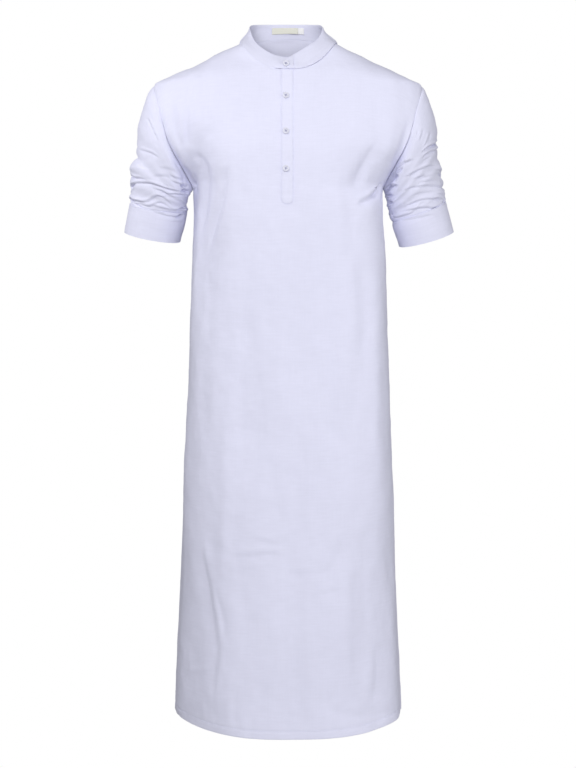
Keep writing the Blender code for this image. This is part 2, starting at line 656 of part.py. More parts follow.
def build():
    for old in list(bpy.data.objects):
        bpy.data.objects.remove(old)
    collection = bpy.data.collections.new(COLLECTION)
    bpy.context.scene.collection.children.link(collection)
    cloth = material("cotton", (0.78, 0.78, 0.93), 0.85)
    label_cloth = material("label", (0.80, 0.80, 0.74), 0.7)
    shell = material("button", (0.75, 0.76, 0.86), 0.35)
    add_panels(collection, cloth)
    add_sleeves(collection, cloth)
    add_collar(collection, cloth, label_cloth)
    add_placket(collection, cloth)
    add_buttons(collection, shell)


build()
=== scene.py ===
"""Thobe robe: a long cotton robe with a stand collar, a half placket and pushed-up sleeves.

It keeps the hollow form that it has when worn. The front faces -Y, the wearer's left is +X
and up is +Z. The origin lies between the two points where the shoulders meet the neck.
Metres throughout, except in the tables of creases, which are in millimetres.
"""

from collections import namedtuple
from math import pi

import bmesh
import bpy
import numpy as np
from mathutils import Matrix, Vector, noise
from mathutils.bvhtree import BVHTree


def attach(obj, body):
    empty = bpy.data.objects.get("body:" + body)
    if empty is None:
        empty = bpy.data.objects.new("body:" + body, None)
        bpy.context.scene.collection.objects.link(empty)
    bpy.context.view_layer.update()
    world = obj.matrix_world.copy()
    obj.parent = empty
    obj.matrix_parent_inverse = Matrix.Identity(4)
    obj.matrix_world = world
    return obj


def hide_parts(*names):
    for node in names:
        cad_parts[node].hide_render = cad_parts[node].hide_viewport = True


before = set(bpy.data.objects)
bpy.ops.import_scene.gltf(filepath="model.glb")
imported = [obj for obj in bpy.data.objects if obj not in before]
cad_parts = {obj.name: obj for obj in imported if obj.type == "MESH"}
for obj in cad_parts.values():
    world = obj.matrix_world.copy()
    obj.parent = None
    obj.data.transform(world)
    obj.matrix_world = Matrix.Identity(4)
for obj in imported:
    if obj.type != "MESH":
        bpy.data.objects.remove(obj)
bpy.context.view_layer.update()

FRONT, BACK = -1, 1             # sign of y
RIGHT, LEFT = -1, 1             # the wearer's sides, sign of x

# ------------------------------------------------------------------ the tailor's sizes
CLOTH = 0.0008                  # wall of the panels and the sleeves
COLLAR_WALL = 0.0015
CUFF_WALL = 0.0022
STRIP_WALL = 0.0010
LABEL_WALL = 0.0006
COLLAR_EDGE, CUFF_EDGE = 0.0006, 0.0007     # rounding of a rim
TURNING = 0.0009                # radius of the fold along the hem
TURNING_DEGREES = (40, 80, 120, 160)        # rows round that fold
HEM_DEPTH = 0.013

BODY_ROUNDNESS = 2.4            # 2 is an ellipse, more is squarer
LEFT_SQUARER = 0.55             # added to it at the front, on the left, below the arm
LEFT_SQUARER_Z = (-0.264, -0.314)           # none above the first, all of it below the second
BodyLevel = namedtuple("BodyLevel", "z half_width front_depth back_depth")
BODY = (
    BodyLevel(0.030, 0.0880, 0.050, 0.0560),
    BodyLevel(0.004, 0.0895, 0.059, 0.0520),
    BodyLevel(-0.011, 0.1220, 0.065, 0.0530),
    BodyLevel(-0.033, 0.1660, 0.073, 0.0660),
    BodyLevel(-0.057, 0.2200, 0.085, 0.0770),
    BodyLevel(-0.069, 0.2420, 0.089, 0.0820),
    BodyLevel(-0.094, 0.2520, 0.097, 0.0920),
    BodyLevel(-0.130, 0.2600, 0.107, 0.1010),
    BodyLevel(-0.166, 0.2540, 0.115, 0.1070),
    BodyLevel(-0.198, 0.2360, 0.121, 0.1110),
    BodyLevel(-0.221, 0.2090, 0.123, 0.1120),
    BodyLevel(-0.244, 0.1840, 0.1245, 0.1120),
    BodyLevel(-0.262, 0.1728, 0.125, 0.1110),
    BodyLevel(-0.281, 0.1710, 0.125, 0.1095),
    BodyLevel(-0.300, 0.1704, 0.125, 0.1080),
    BodyLevel(-0.390, 0.1740, 0.123, 0.1020),
    BodyLevel(-0.462, 0.1765, 0.122, 0.1000),
    BodyLevel(-0.608, 0.1810, 0.126, 0.1150),
    BodyLevel(-0.754, 0.1866, 0.134, 0.1260),
    BodyLevel(-0.899, 0.1930, 0.143, 0.1370),
    BodyLevel(-1.045, 0.1993, 0.153, 0.1480),
    BodyLevel(-1.230, 0.2062, 0.163, 0.1600),
)

# The top edge of a panel on its centre line; the shoulders' seam is where the girth closes.
NECK_CENTRE_Z = {FRONT: -0.057, BACK: 0.022}
NECK_SIDE_Z = 0.004
NECK_SWEEP = {FRONT: 2.7, BACK: 2.0}        # how late the neck seam turns up to the shoulder
NECK_SHARE = 0.6                            # share of a panel's half that the neck takes
NECK_CROWD = 1.35                           # columns crowd together towards the shoulder
PLUMB_SHARE = 0.08                          # of the armhole's height: columns hang plumb there
TIP_X, TIP_Z = 0.2420, -0.0690

# Worn cloth settles: it sinks along the shoulders and closes up round the neck. Each pair
# says where the change begins and where it is complete.
SHOULDER_SINK = {RIGHT: 0.0040, LEFT: 0.0050}
SHOULDER_SINK_X, SHOULDER_SINK_Z = (0.078, 0.113), (-0.20, -0.08)
NECK_CLOSING = 0.036                        # share of x
NECK_CLOSING_X, NECK_CLOSING_Z = (0.125, 0.075), (-0.016, 0.012)

# The armhole, from the shoulder's tip (down 0) to the underarm (1): how far it has come
# towards the front or the back, as a share of the body's depth there.
ArmholeLevel = namedtuple("ArmholeLevel", "down reach")
ARMHOLE = (
    ArmholeLevel(0.000, 0.000),
    ArmholeLevel(0.234, 0.431),
    ArmholeLevel(0.380, 0.583),
    ArmholeLevel(0.501, 0.605),
    ArmholeLevel(0.609, 0.580),
    ArmholeLevel(0.695, 0.470),
    ArmholeLevel(0.803, 0.259),
    ArmholeLevel(1.000, 0.000),
)

# The cloth tucks in along the lower half of the armhole.
TUCK = {FRONT: 0.0085, BACK: 0.0060}
TUCK_WIDTH = 0.0085
TUCK_FROM, TUCK_SPAN = 0.5, (0.52, 0.98)    # down the armhole

# From the underarm to the hem: the side seam's height and the same level at the centre.
SideLevel = namedtuple("SideLevel", "side_z front_z back_z")
SIDE_SEAM = (
    SideLevel(-0.262, -0.272, -0.262),
    SideLevel(-0.400, -0.402, -0.400),
    SideLevel(-0.800, -0.800, -0.800),
    SideLevel(-1.060, -1.063, -1.062),
    SideLevel(-1.206, -1.229, -1.222),
)
HEM_SWEEP = 2.6

FOLD_DIES = 0.3                 # share of a fold's length over which it dies away
LEVEL_FOLDS = np.array([0.2, 1, 1])         # folds leave the outline at the sides alone
# Soft troughs along a curve through three points (x, z); a negative depth is a ridge.
Fold = namedtuple("Fold", "x0 z0 x1 z1 x2 z2 width depth comes_in", defaults=(0.4,))
FOLDS = {
    FRONT: (
        Fold(-0.161, -0.140, -0.159, -0.290, -0.158, -0.520, 0.031, 0.0190, 0.30),
        Fold(-0.121, -0.29, -0.131, -0.37, -0.125, -0.46, 0.026, 0.0020),
        Fold(0.112, -0.29, 0.131, -0.24, 0.152, -0.17, 0.022, 0.0030),
        Fold(0.168, -0.205, 0.170, -0.50, 0.182, -0.98, 0.026, -0.0085),
        Fold(-0.060, -0.46, -0.066, -0.62, -0.060, -0.78, 0.030, 0.0025),
        Fold(-0.190, -0.88, -0.184, -1.10, -0.182, -1.30, 0.042, 0.0130),
        Fold(0.180, -0.80, 0.180, -1.05, 0.184, -1.30, 0.055, 0.0150),
        Fold(-0.215, -1.215, -0.160, -1.245, -0.085, -1.265, 0.040, 0.0110, 0.10),
        Fold(0.128, -0.86, 0.140, -1.06, 0.148, -1.28, 0.032, 0.0030),
    ),
    BACK: (
        Fold(-0.085, -0.35, -0.100, -0.75, -0.098, -1.25, 0.034, 0.0065),
        Fold(0.040, -0.50, 0.052, -0.85, 0.048, -1.25, 0.034, 0.0050),
        Fold(0.128, -0.60, 0.136, -0.90, 0.140, -1.25, 0.030, 0.0060),
        Fold(-0.150, -0.20, -0.120, -0.27, -0.095, -0.36, 0.026, 0.0045),
        Fold(0.150, -0.20, 0.118, -0.28, 0.092, -0.37, 0.026, 0.0045),
    ),
}

# Unevenness of the cloth: its height, its wavelengths along x, y and z, a seed and octaves.
Rumple = namedtuple("Rumple", "height wavelengths seed octaves", defaults=(2,))
PANEL_BROAD = Rumple(0.0011, (0.085, 0.2, 0.23), 1)
PANEL_RUMPLES = (
    Rumple(0.0013, (0.045, 0.08, 0.16), 13),
    Rumple(0.00050, (0.026, 0.03, 0.034), 4),
    Rumple(0.00014, (0.010, 0.010, 0.007), 7, 1),
)
HEM_PUCKER = Rumple(0.0003, (0.011, 0.011, 0.03), 9, 1)
SLEEVE_RUMPLE = Rumple(0.0003, (0.05, 0.045, 0.022), 20)
SLEEVE_GRAIN = Rumple(0.00016, (0.02, 0.018, 0.008), 30)
CUFF_RUMPLES = (
    Rumple(0.0006, (0.045, 0.045, 0.03), 40),
    Rumple(0.0002, (0.012, 0.012, 0.012), 43, 1),
)
COLLAR_RUMPLES = (
    Rumple(0.0005, (0.035, 0.035, 0.02), 50),
    Rumple(0.00012, (0.009, 0.009, 0.009), 51, 1),
)
PLACKET_RUMPLES = (
    Rumple(0.00022, (0.012, 0.012, 0.010), 60),
    Rumple(0.0004, (0.05, 1, 0.05), 61),
)

# How far from the seams the cloth takes to come free of them, and then from the placket.
SEAM_LEVEL, SEAM_CALM, SEAM_BROAD_CALM, ARMHOLE_CALM = 0.005, 0.007, 0.030, 0.006
BESIDE_PLACKET_X = (0.0125, 0.0245)
BELOW_PLACKET = (0.006, 0.026)
HEM_PUCKER_REACH = 0.02

# Grooves that seams and rows of stitches press into the cloth: half their width, and depth.
Groove = namedtuple("Groove", "width depth")
SIDE_GROOVE = Groove(0.0017, 0.0007)
SHOULDER_GROOVE = Groove(0.0017, 0.0003)
ARMHOLE_GROOVE = Groove(0.0018, 0.0007)
HEM_GROOVE = Groove(0.0016, 0.00055)
CUFF_GROOVE = Groove(0.0009, 0.0004)
COLLAR_GROOVE = Groove(0.0010, 0.00035)
PLACKET_GROOVE = Groove(0.0007, 0.00035)
ARMHOLE_SHOWS = (0.25, 0.65)    # down the armhole: where its groove begins and is complete

# A sleeve's slanted rings, from the armhole (along 0) to the cuff's seam (1) and its rim.
# tip is the outer side, pit the side under the arm; tilt lowers the front of the ring.
Ring = namedtuple("Ring", "along tip_x tip_z pit_x pit_z centre_y front back tilt")
CUFF_SEAM, CUFF_RIM = 1.0, 1.25
RINGS = {
    RIGHT: (
        Ring(0.00, 0.2420, -0.0690, 0.1720, -0.2620, 0.000, 0.072, 0.066, 0.00),
        Ring(0.03, 0.2461, -0.0722, 0.1725, -0.2628, 0.000, 0.073, 0.067, 0.00),
        Ring(0.10, 0.2542, -0.0845, 0.1740, -0.2645, 0.000, 0.074, 0.069, 0.00),
        Ring(0.22, 0.2612, -0.1045, 0.1765, -0.2670, 0.001, 0.075, 0.070, 0.02),
        Ring(0.38, 0.2693, -0.1320, 0.1795, -0.2710, 0.003, 0.073, 0.069, 0.05),
        Ring(0.55, 0.2745, -0.1700, 0.1820, -0.2760, 0.007, 0.068, 0.065, 0.10),
        Ring(0.66, 0.2752, -0.1995, 0.1832, -0.2800, 0.010, 0.0645, 0.0615, 0.125),
        Ring(0.75, 0.2858, -0.2190, 0.1840, -0.2840, 0.013, 0.061, 0.058, 0.15),
        Ring(0.90, 0.2872, -0.2620, 0.1845, -0.2940, 0.018, 0.053, 0.052, 0.18),
        Ring(1.00, 0.2905, -0.2871, 0.1850, -0.3018, 0.021, 0.050, 0.049, 0.20),
        Ring(1.25, 0.3004, -0.3352, 0.1978, -0.3538, 0.030, 0.049, 0.048, 0.22),
    ),
    LEFT: (
        Ring(0.00, 0.2420, -0.0690, 0.1720, -0.2620, 0.000, 0.072, 0.066, 0.00),
        Ring(0.03, 0.2459, -0.0722, 0.1725, -0.2628, 0.000, 0.073, 0.067, 0.00),
        Ring(0.10, 0.2516, -0.0845, 0.1740, -0.2650, 0.000, 0.074, 0.069, 0.00),
        Ring(0.22, 0.2592, -0.1045, 0.1760, -0.2685, 0.001, 0.075, 0.070, 0.02),
        Ring(0.38, 0.2674, -0.1320, 0.1780, -0.2735, 0.003, 0.073, 0.069, 0.05),
        Ring(0.55, 0.2706, -0.1700, 0.1800, -0.2805, 0.007, 0.068, 0.065, 0.10),
        Ring(0.75, 0.2752, -0.2140, 0.1825, -0.2920, 0.013, 0.061, 0.058, 0.15),
        Ring(0.90, 0.2850, -0.2580, 0.1860, -0.3060, 0.018, 0.053, 0.052, 0.18),
        Ring(1.00, 0.2899, -0.2835, 0.1887, -0.3164, 0.021, 0.050, 0.049, 0.20),
        Ring(1.25, 0.3043, -0.3343, 0.2042, -0.3620, 0.030, 0.049, 0.048, 0.22),
    ),
}
CAP_END = 0.5                   # along the sleeve, where its rings have become plain ovals

# Broad rolls of pushed-up cloth round a sleeve. skew moves a roll along the sleeve between
# its outer side (+) and the underarm (-); facing is the angle where it is highest, from the
# outer side by way of the front; grip is how fast it dies away from there.
Roll = namedtuple("Roll", "along skew width height facing grip")
ROLLS = {
    RIGHT: (
        Roll(0.60, 0.02, 0.050, 0.0015, 0.3, 0.6),
        Roll(0.72, -0.02, 0.040, 0.0020, 0.5, 0.4),
        Roll(0.83, 0.01, 0.036, 0.0019, 0.2, 0.3),
        Roll(0.93, 0.01, 0.032, 0.0017, 2.4, 0.2),
        Roll(0.40, 0.05, 0.060, 0.0022, 5.2, 0.8),
    ),
    LEFT: (
        Roll(0.52, -0.04, 0.050, 0.0015, 0.4, 0.6),
        Roll(0.66, -0.05, 0.040, 0.0018, 2.0, 0.4),
        Roll(0.78, -0.03, 0.036, 0.0019, 1.2, 0.3),
        Roll(0.91, -0.02, 0.034, 0.0018, 0.6, 0.2),
        Roll(0.42, 0.03, 0.060, 0.0022, 4.9, 0.8),
    ),
}

# The collar band leans in at the front and stands up at the back.
COLLAR_TOP_HALF_WIDTH = 0.0695
COLLAR_TOP_SHIFT = -0.0035      # the neck opening sits a little to the wearer's right
COLLAR_TOP_Y = {FRONT: -0.066, BACK: 0.060}
COLLAR_TOP_Z = {FRONT: -0.0345, BACK: 0.0510}
COLLAR_SIDE_Z = 0.033
COLLAR_DIP = {RIGHT: 1.6, LEFT: 1.1}        # how straight the front's top edge falls
COLLAR_CORNER, COLLAR_CORNER_SHARE = 12, 0.34       # a last part of the climb, at the side
COLLAR_BACK_SWEEP, COLLAR_BACK_SHARE = 30, 0.31     # the same behind
COLLAR_SWELL = (0.34, 0.45)     # how far the band keeps its way at its foot and at its top
COLLAR_UPRIGHT, COLLAR_UPRIGHT_SWEEP = 0.75, 6      # its top turns upright beside the neck
COLLAR_FOLLOW = 0.1             # how soon its foot follows a panel that is steeper than it
COLLAR_SEAT = 0.0006            # how far the whole band stands out
COLLAR_BELLY = 0.0005           # and its middle more than its edges
COLLAR_PROUD, COLLAR_PROUD_X = 0.0013, (-0.01, 0.02)        # its foot, on the left in front
COLLAR_PROUD_UP = (0.35, 0)
COLLAR_STITCHES_UP = 0.0022     # from the foot to the lower row
COLLAR_STITCHES_DOWN = 0.0024   # from the top edge to the upper row
LAP_LEFT_END_X = -0.012         # the wearer's left end, underneath
LAP_RIGHT_END_X = 0.0107        # the wearer's right end, on top
LAP_LIFT, LAP_LIFT_X = 0.0020, (-0.034, -0.014)
LAP_PLUMB_COLUMNS = 9           # the right end's edge hangs plumb over so many columns

ROLLS_END = 0.06                # along the sleeve, before the cuff, where its rolls die away
BUNCHED = (0.3, 0.8)            # along the sleeve: where it is bunched, the cloth is less even
BACK_SHIFT = {RIGHT: 5, LEFT: -4}           # millimetres, of the creases behind
BACK_SHIFT_TURNS = (-0.6, 1)    # shares of that for every other point
ARMHOLE_TURNING = ((0.0030, 0.0016, 0.0035), (0.0012, 0.0011, 0.0016))      # back, in, on the flat
CUFF_LAP = 0.012                # along the sleeve, by which the cuff overlaps it
CUFF_SEAT = 0.0003
CUFF_STITCHES = 0.0022          # from the cuff's top edge
SLEEVE_DIP, SLEEVE_DIP_ALONG = 0.0012, (0.975, 0.995)       # under the cuff

STRIP_SEAT = 0.0003             # the placket's over strip over the panel
STRIP_SWELL, STRIP_SWELL_REACH = 0.0004, 0.0025     # its middle over its edge
STRIP_DIP, STRIP_DIP_REACH = 0.0010, 0.004          # its top end, under the collar
PLACKET_RIGHT_X, PLACKET_LEFT_X = -0.0114, 0.0088
PLACKET_TOP_Z, PLACKET_FOOT_Z = -0.0560, -0.2997
PLACKET_FOOT_RADIUS = 0.009
PLACKET_STITCHES = 0.0018       # from the strip's edge
UNDER_STRIP_TOP_Z, UNDER_STRIP_FOOT_Z = -0.0600, -0.2930
UNDER_STRIP_CORNER, UNDER_STRIP_GAP = 0.001, 0.0004
SLIT_WIDTH = 0.0006
SLIT_END_Z = PLACKET_FOOT_Z + 0.004

BUTTON_THICKNESS = 0.0024
# radius and height from the dish in the button's face, over the rim, to its back
BUTTON_OUTLINE = ((0.0024, 0.0002), (0.0032, 0.0004), (0.0038, 0.0010), (0.0044, 0.0012),
                  (0.0050, 0.00112), (0.0056, 0.0008), (0.0059, 0.0003), (0.0060, 0.0),
                  (0.0058, -0.0005), (0.0052, -0.0010), (0.0042, -0.0012))
BUTTON_SEGMENTS = 48
HOLE_RADIUS, HOLE_PLACE, DRILL_DEPTH = 0.00080, 0.00115, 0.006
BUTTON_X = -0.0036
BUTTON_SEAT, COLLAR_BUTTON_SEAT = 0.0008, 0.0017
COLLAR_BUTTON_UPRIGHT = 0.8     # it faces forward more than the band does
PLACKET_BUTTON_GAP = 0.0002
BUTTON_TURNS = (0.15, 0.5, -0.2, 0.35)      # radians, from the collar down
COLLAR_BUTTON_HEIGHT = 0.32     # up the collar band
PLACKET_BUTTON_Z = (-0.1067, -0.1716, -0.2379)
THREAD_BAR = (0.0021, 0.00024, 0.00030)     # half sizes of a bar of the thread cross
THREAD_SPREAD, THREAD_SINK = 0.00022, 0.00085
SHANK_RADII, SHANK_EXTRA = (0.0013, 0.0011), 0.0012

LABEL_X = (-0.0296, 0.0185)
SIZE_TAB_X = (0.0188, 0.0296)
LABEL_HEIGHT = (0.40, 0.82)     # up the collar band
LABEL_GAP, LABEL_LIFT = 0.0004, 0.0003
LABEL_CURL, SIZE_TAB_CURL = 0.0016, 0.0006
LABEL_WAVE, LABEL_WAVES = 0.0004, 1.5
BACK_OF_COLLAR_Y = 0.015        # its columns behind this can carry a label

STITCH = {"Pitch": 0.0032, "Stitch Length": 0.0023, "Thread": 0.0005}

# How finely the cloth is divided
PANEL_COLUMNS = 70              # to each side of the centre line
EVEN_COLUMNS_END = 0.982        # of across
SIDE_COLUMNS = (0.9870, 0.9912, 0.9944, 0.9972, 1.0)        # crowded at the side seams
ARMHOLE_ROWS, SIDE_ROWS, HEM_ROWS = 90, 236, 10
TURNED_UP_ROWS = 7              # behind the hem, after its fold
HEM_ZONE = 0.0195               # of down, where the rows lie closer
CAP_RINGS = (0.0, 0.004, 0.009, 0.015, 0.022)
PLAIN_RINGS, BUNCHED_RINGS, CUFF_RINGS = 60, 180, 52
PLAIN_FROM, BUNCHED_FROM, SLEEVE_END = 0.03, 0.42, 1.005
COLLAR_ROWS, COLLAR_LEFT, COLLAR_BACK, COLLAR_RIGHT = 15, 46, 80, 54
STRIP_ROW, STRIP_FOOT_ROWS, OVER_STRIP_COLUMNS, UNDER_STRIP_COLUMNS = 0.0016, 12, 25, 11
STRIP_CROWD = 0.43 * pi         # its columns crowd towards its edges
LABEL_ROWS, LABEL_COLUMNS = 14, 26
CREASE_POINTS = 16              # along a crease, for each of its own points
FOLD_POINTS = 200               # along a fold
SHOULDER_POINTS, NECK_POINTS = 60, 400      # where a curve is read backwards

# ------------------------------------------------------------------ creases, in millimetres
# points (x, z) lie on the cross plane y = 0 and are thrown onto the cloth from the eye in
# front (or behind, for a back). width is half a crease's width; ridge is the roll beside it,
# on the left of the way it runs. behind is how far it goes on round a sleeve's outer side:
# after its last point, or before its first where it is negative. far is how many widths the
# side without a roll takes to come up, where it isn't the piece's usual number.
Crease = namedtuple("Crease", "points width depth ridge behind far", defaults=(0, 0, 0))
EYE_Y, EYE_Z = 3.2, -0.615

# How crisp a piece's creases are: sharp is 2 for a soft trough and nearer 1 for a crisp one.
Crispness = namedtuple("Crispness", "sharp far")
SOFT, CRISP = Crispness(2.0, 2.6), Crispness(1.3, 1.6)

SLEEVE_CREASES = {
    RIGHT: (
        Crease(((-257, -127), (-248, -151), (-235, -176)), 2.3, 2, 1.1),
        Crease(((-242, -105), (-238, -127), (-231, -149)), 2.6, -1.2),
        Crease(((-277, -183), (-269, -187)), 3, 2, 0, -20),
        Crease(((-271, -188), (-262, -191), (-248, -196), (-233, -204)), 1.9, 1.4, 0.9),
        Crease(((-276, -202), (-266, -205)), 3.4, 2.6, 0, -22),
        Crease(((-289, -223), (-269, -223), (-244, -227)), 8, -3.4, 0, -30),
        Crease(((-237, -222), (-215, -225), (-200, -231)), 2.4, 0.8, 0.5),
        Crease(((-248, -238), (-228, -237), (-213, -240)), 2.2, 0.8, 0.5),
        Crease(((-286, -238), (-278, -241), (-268, -242), (-253, -244)), 2.1, 2.2, 1.3, -22),
        Crease(((-287, -237), (-277, -241)), 2.5, 5.6, 0, -12),
        Crease(((-286, -255), (-275, -250), (-251, -251), (-233, -256), (-215, -262), (-197, -265),
                (-182, -263)), 2.1, 2.4, 1.4, -18),
        Crease(((-288, -255), (-276, -251)), 3, 6.6, 0, -10),
        Crease(((-197, -263), (-178, -265)), 2.9, 7.4),
        Crease(((-228, -252), (-217, -255)), 1.7, 0.9, 0.5),
        Crease(((-217, -235), (-204, -241), (-189, -244)), 1.9, 1.7, 0.9),
        Crease(((-215, -245), (-197, -252), (-184, -256)), 1.9, 1.7, 0.9),
        Crease(((-197, -254), (-180, -257)), 2.5, 6.6),
        Crease(((-251, -257), (-231, -264), (-220, -270), (-206, -270), (-189, -272),
                (-178, -273)), 2, 2.1, 1.1),
        Crease(((-237, -275), (-217, -274), (-193, -276)), 1.7, 0.8, 0.4),
        Crease(((-206, -211), (-197, -225)), 1.8, 1.6),
        Crease(((-195, -231), (-189, -245), (-186, -258), (-184, -273)), 2.8, 6),
        Crease(((-288, -280), (-280, -283), (-268, -284), (-249, -290)), 2, 1.8, 1, -16),
        Crease(((-289, -280), (-277, -283)), 2.4, 5, 0, -10),
        Crease(((-251, -289), (-233, -294), (-215, -298)), 2, 1, 0.6),
        Crease(((-204, -298), (-180, -294)), 2.1, 3.6, 0.8),
    ),
    LEFT: (
        Crease(((242, -149), (237, -173)), 2.4, -1.1),
        Crease(((238, -149), (235, -162), (229, -174)), 2.2, 1.2),
        Crease(((248, -147), (240, -176)), 2.2, 1),
        Crease(((256, -154), (251, -169), (243, -187)), 2.6, -1.5),
        Crease(((260, -153), (255, -174)), 2.4, 0.9),
        Crease(((241, -195), (248, -189), (258, -183), (272, -176)), 1.9, 3.4, 1.5, 20),
        Crease(((251, -186), (275, -175)), 2.2, 4.2, 0, 10),
        Crease(((242, -205), (249, -199), (260, -193), (274, -187)), 1.8, 2.2, 1.2, 18),
        Crease(((244, -210), (260, -200)), 1.7, 0.9, 0.5),
        Crease(((269, -204), (278, -205)), 2.4, 1.4, 0, 12),
        Crease(((186, -222), (204, -217), (215, -212), (231, -207)), 2, 2.8, 1.2),
        Crease(((180, -223), (206, -217)), 2.6, 6.2),
        Crease(((182, -235), (200, -227), (209, -224)), 2.2, 4.6, 0.9),
        Crease(((173, -245), (189, -239), (204, -236)), 2.7, 8, 1.2),
        Crease(((204, -240), (222, -235), (237, -227), (248, -222), (258, -219),
                (271, -221)), 2.1, 2, 1.2),
        Crease(((257, -224), (280, -228)), 2, 1.5, 0.8, 14),
        Crease(((228, -241), (251, -234)), 1.7, 0.9, 0.5),
        Crease(((260, -232), (282, -234)), 1.7, 1, 0.6, 12),
        Crease(((171, -253), (189, -250)), 3, 7.5),
        Crease(((175, -264), (187, -256), (202, -253)), 2.5, 6.2, 1),
        Crease(((222, -244), (244, -239), (266, -236)), 1.8, 1, 0.6),
        Crease(((224, -254), (249, -247), (269, -245)), 1.9, 1.1, 0.7),
        Crease(((198, -265), (222, -259), (240, -256), (262, -255), (286, -257)), 2, 1.7, 1.1, 18),
        Crease(((264, -255), (288, -258)), 2, 2, 0, 12),
        Crease(((257, -262), (289, -263)), 1.7, 1.1, 0.6, 14),
        Crease(((217, -273), (249, -267), (271, -266)), 1.8, 0.9, 0.5),
        Crease(((260, -269), (291, -270)), 1.8, 1.5, 0.8, 14),
        Crease(((206, -295), (222, -289), (240, -282), (258, -279), (288, -280)), 2.1, 1.8, 1.2, 20),
        Crease(((175, -273), (193, -271)), 3, 5.6),
        Crease(((175, -287), (193, -284)), 2.5, 5.8),
        Crease(((200, -302), (226, -298), (249, -295), (269, -296), (282, -291)), 2, 1.5, 0.9),
        Crease(((260, -297), (282, -291)), 2.2, 2.8),
        Crease(((178, -309), (193, -312)), 2.6, 5.8),
    ),
}

CUFF_CREASES = {
    RIGHT: (
        Crease(((-249, -302), (-233, -306), (-217, -310), (-200, -311), (-184, -304)), 2, 1.2, 0.7),
        Crease(((-206, -312), (-182, -302)), 2.4, 4, 0.8),
        Crease(((-218, -320), (-189, -318)), 2.2, 0.7, 0.3),
    ),
    LEFT: (
        Crease(((182, -310), (191, -315), (204, -318)), 2.4, 5, 0.8),
        Crease(((204, -319), (237, -313), (269, -306)), 2.2, 0.9, 0.5),
    ),
}

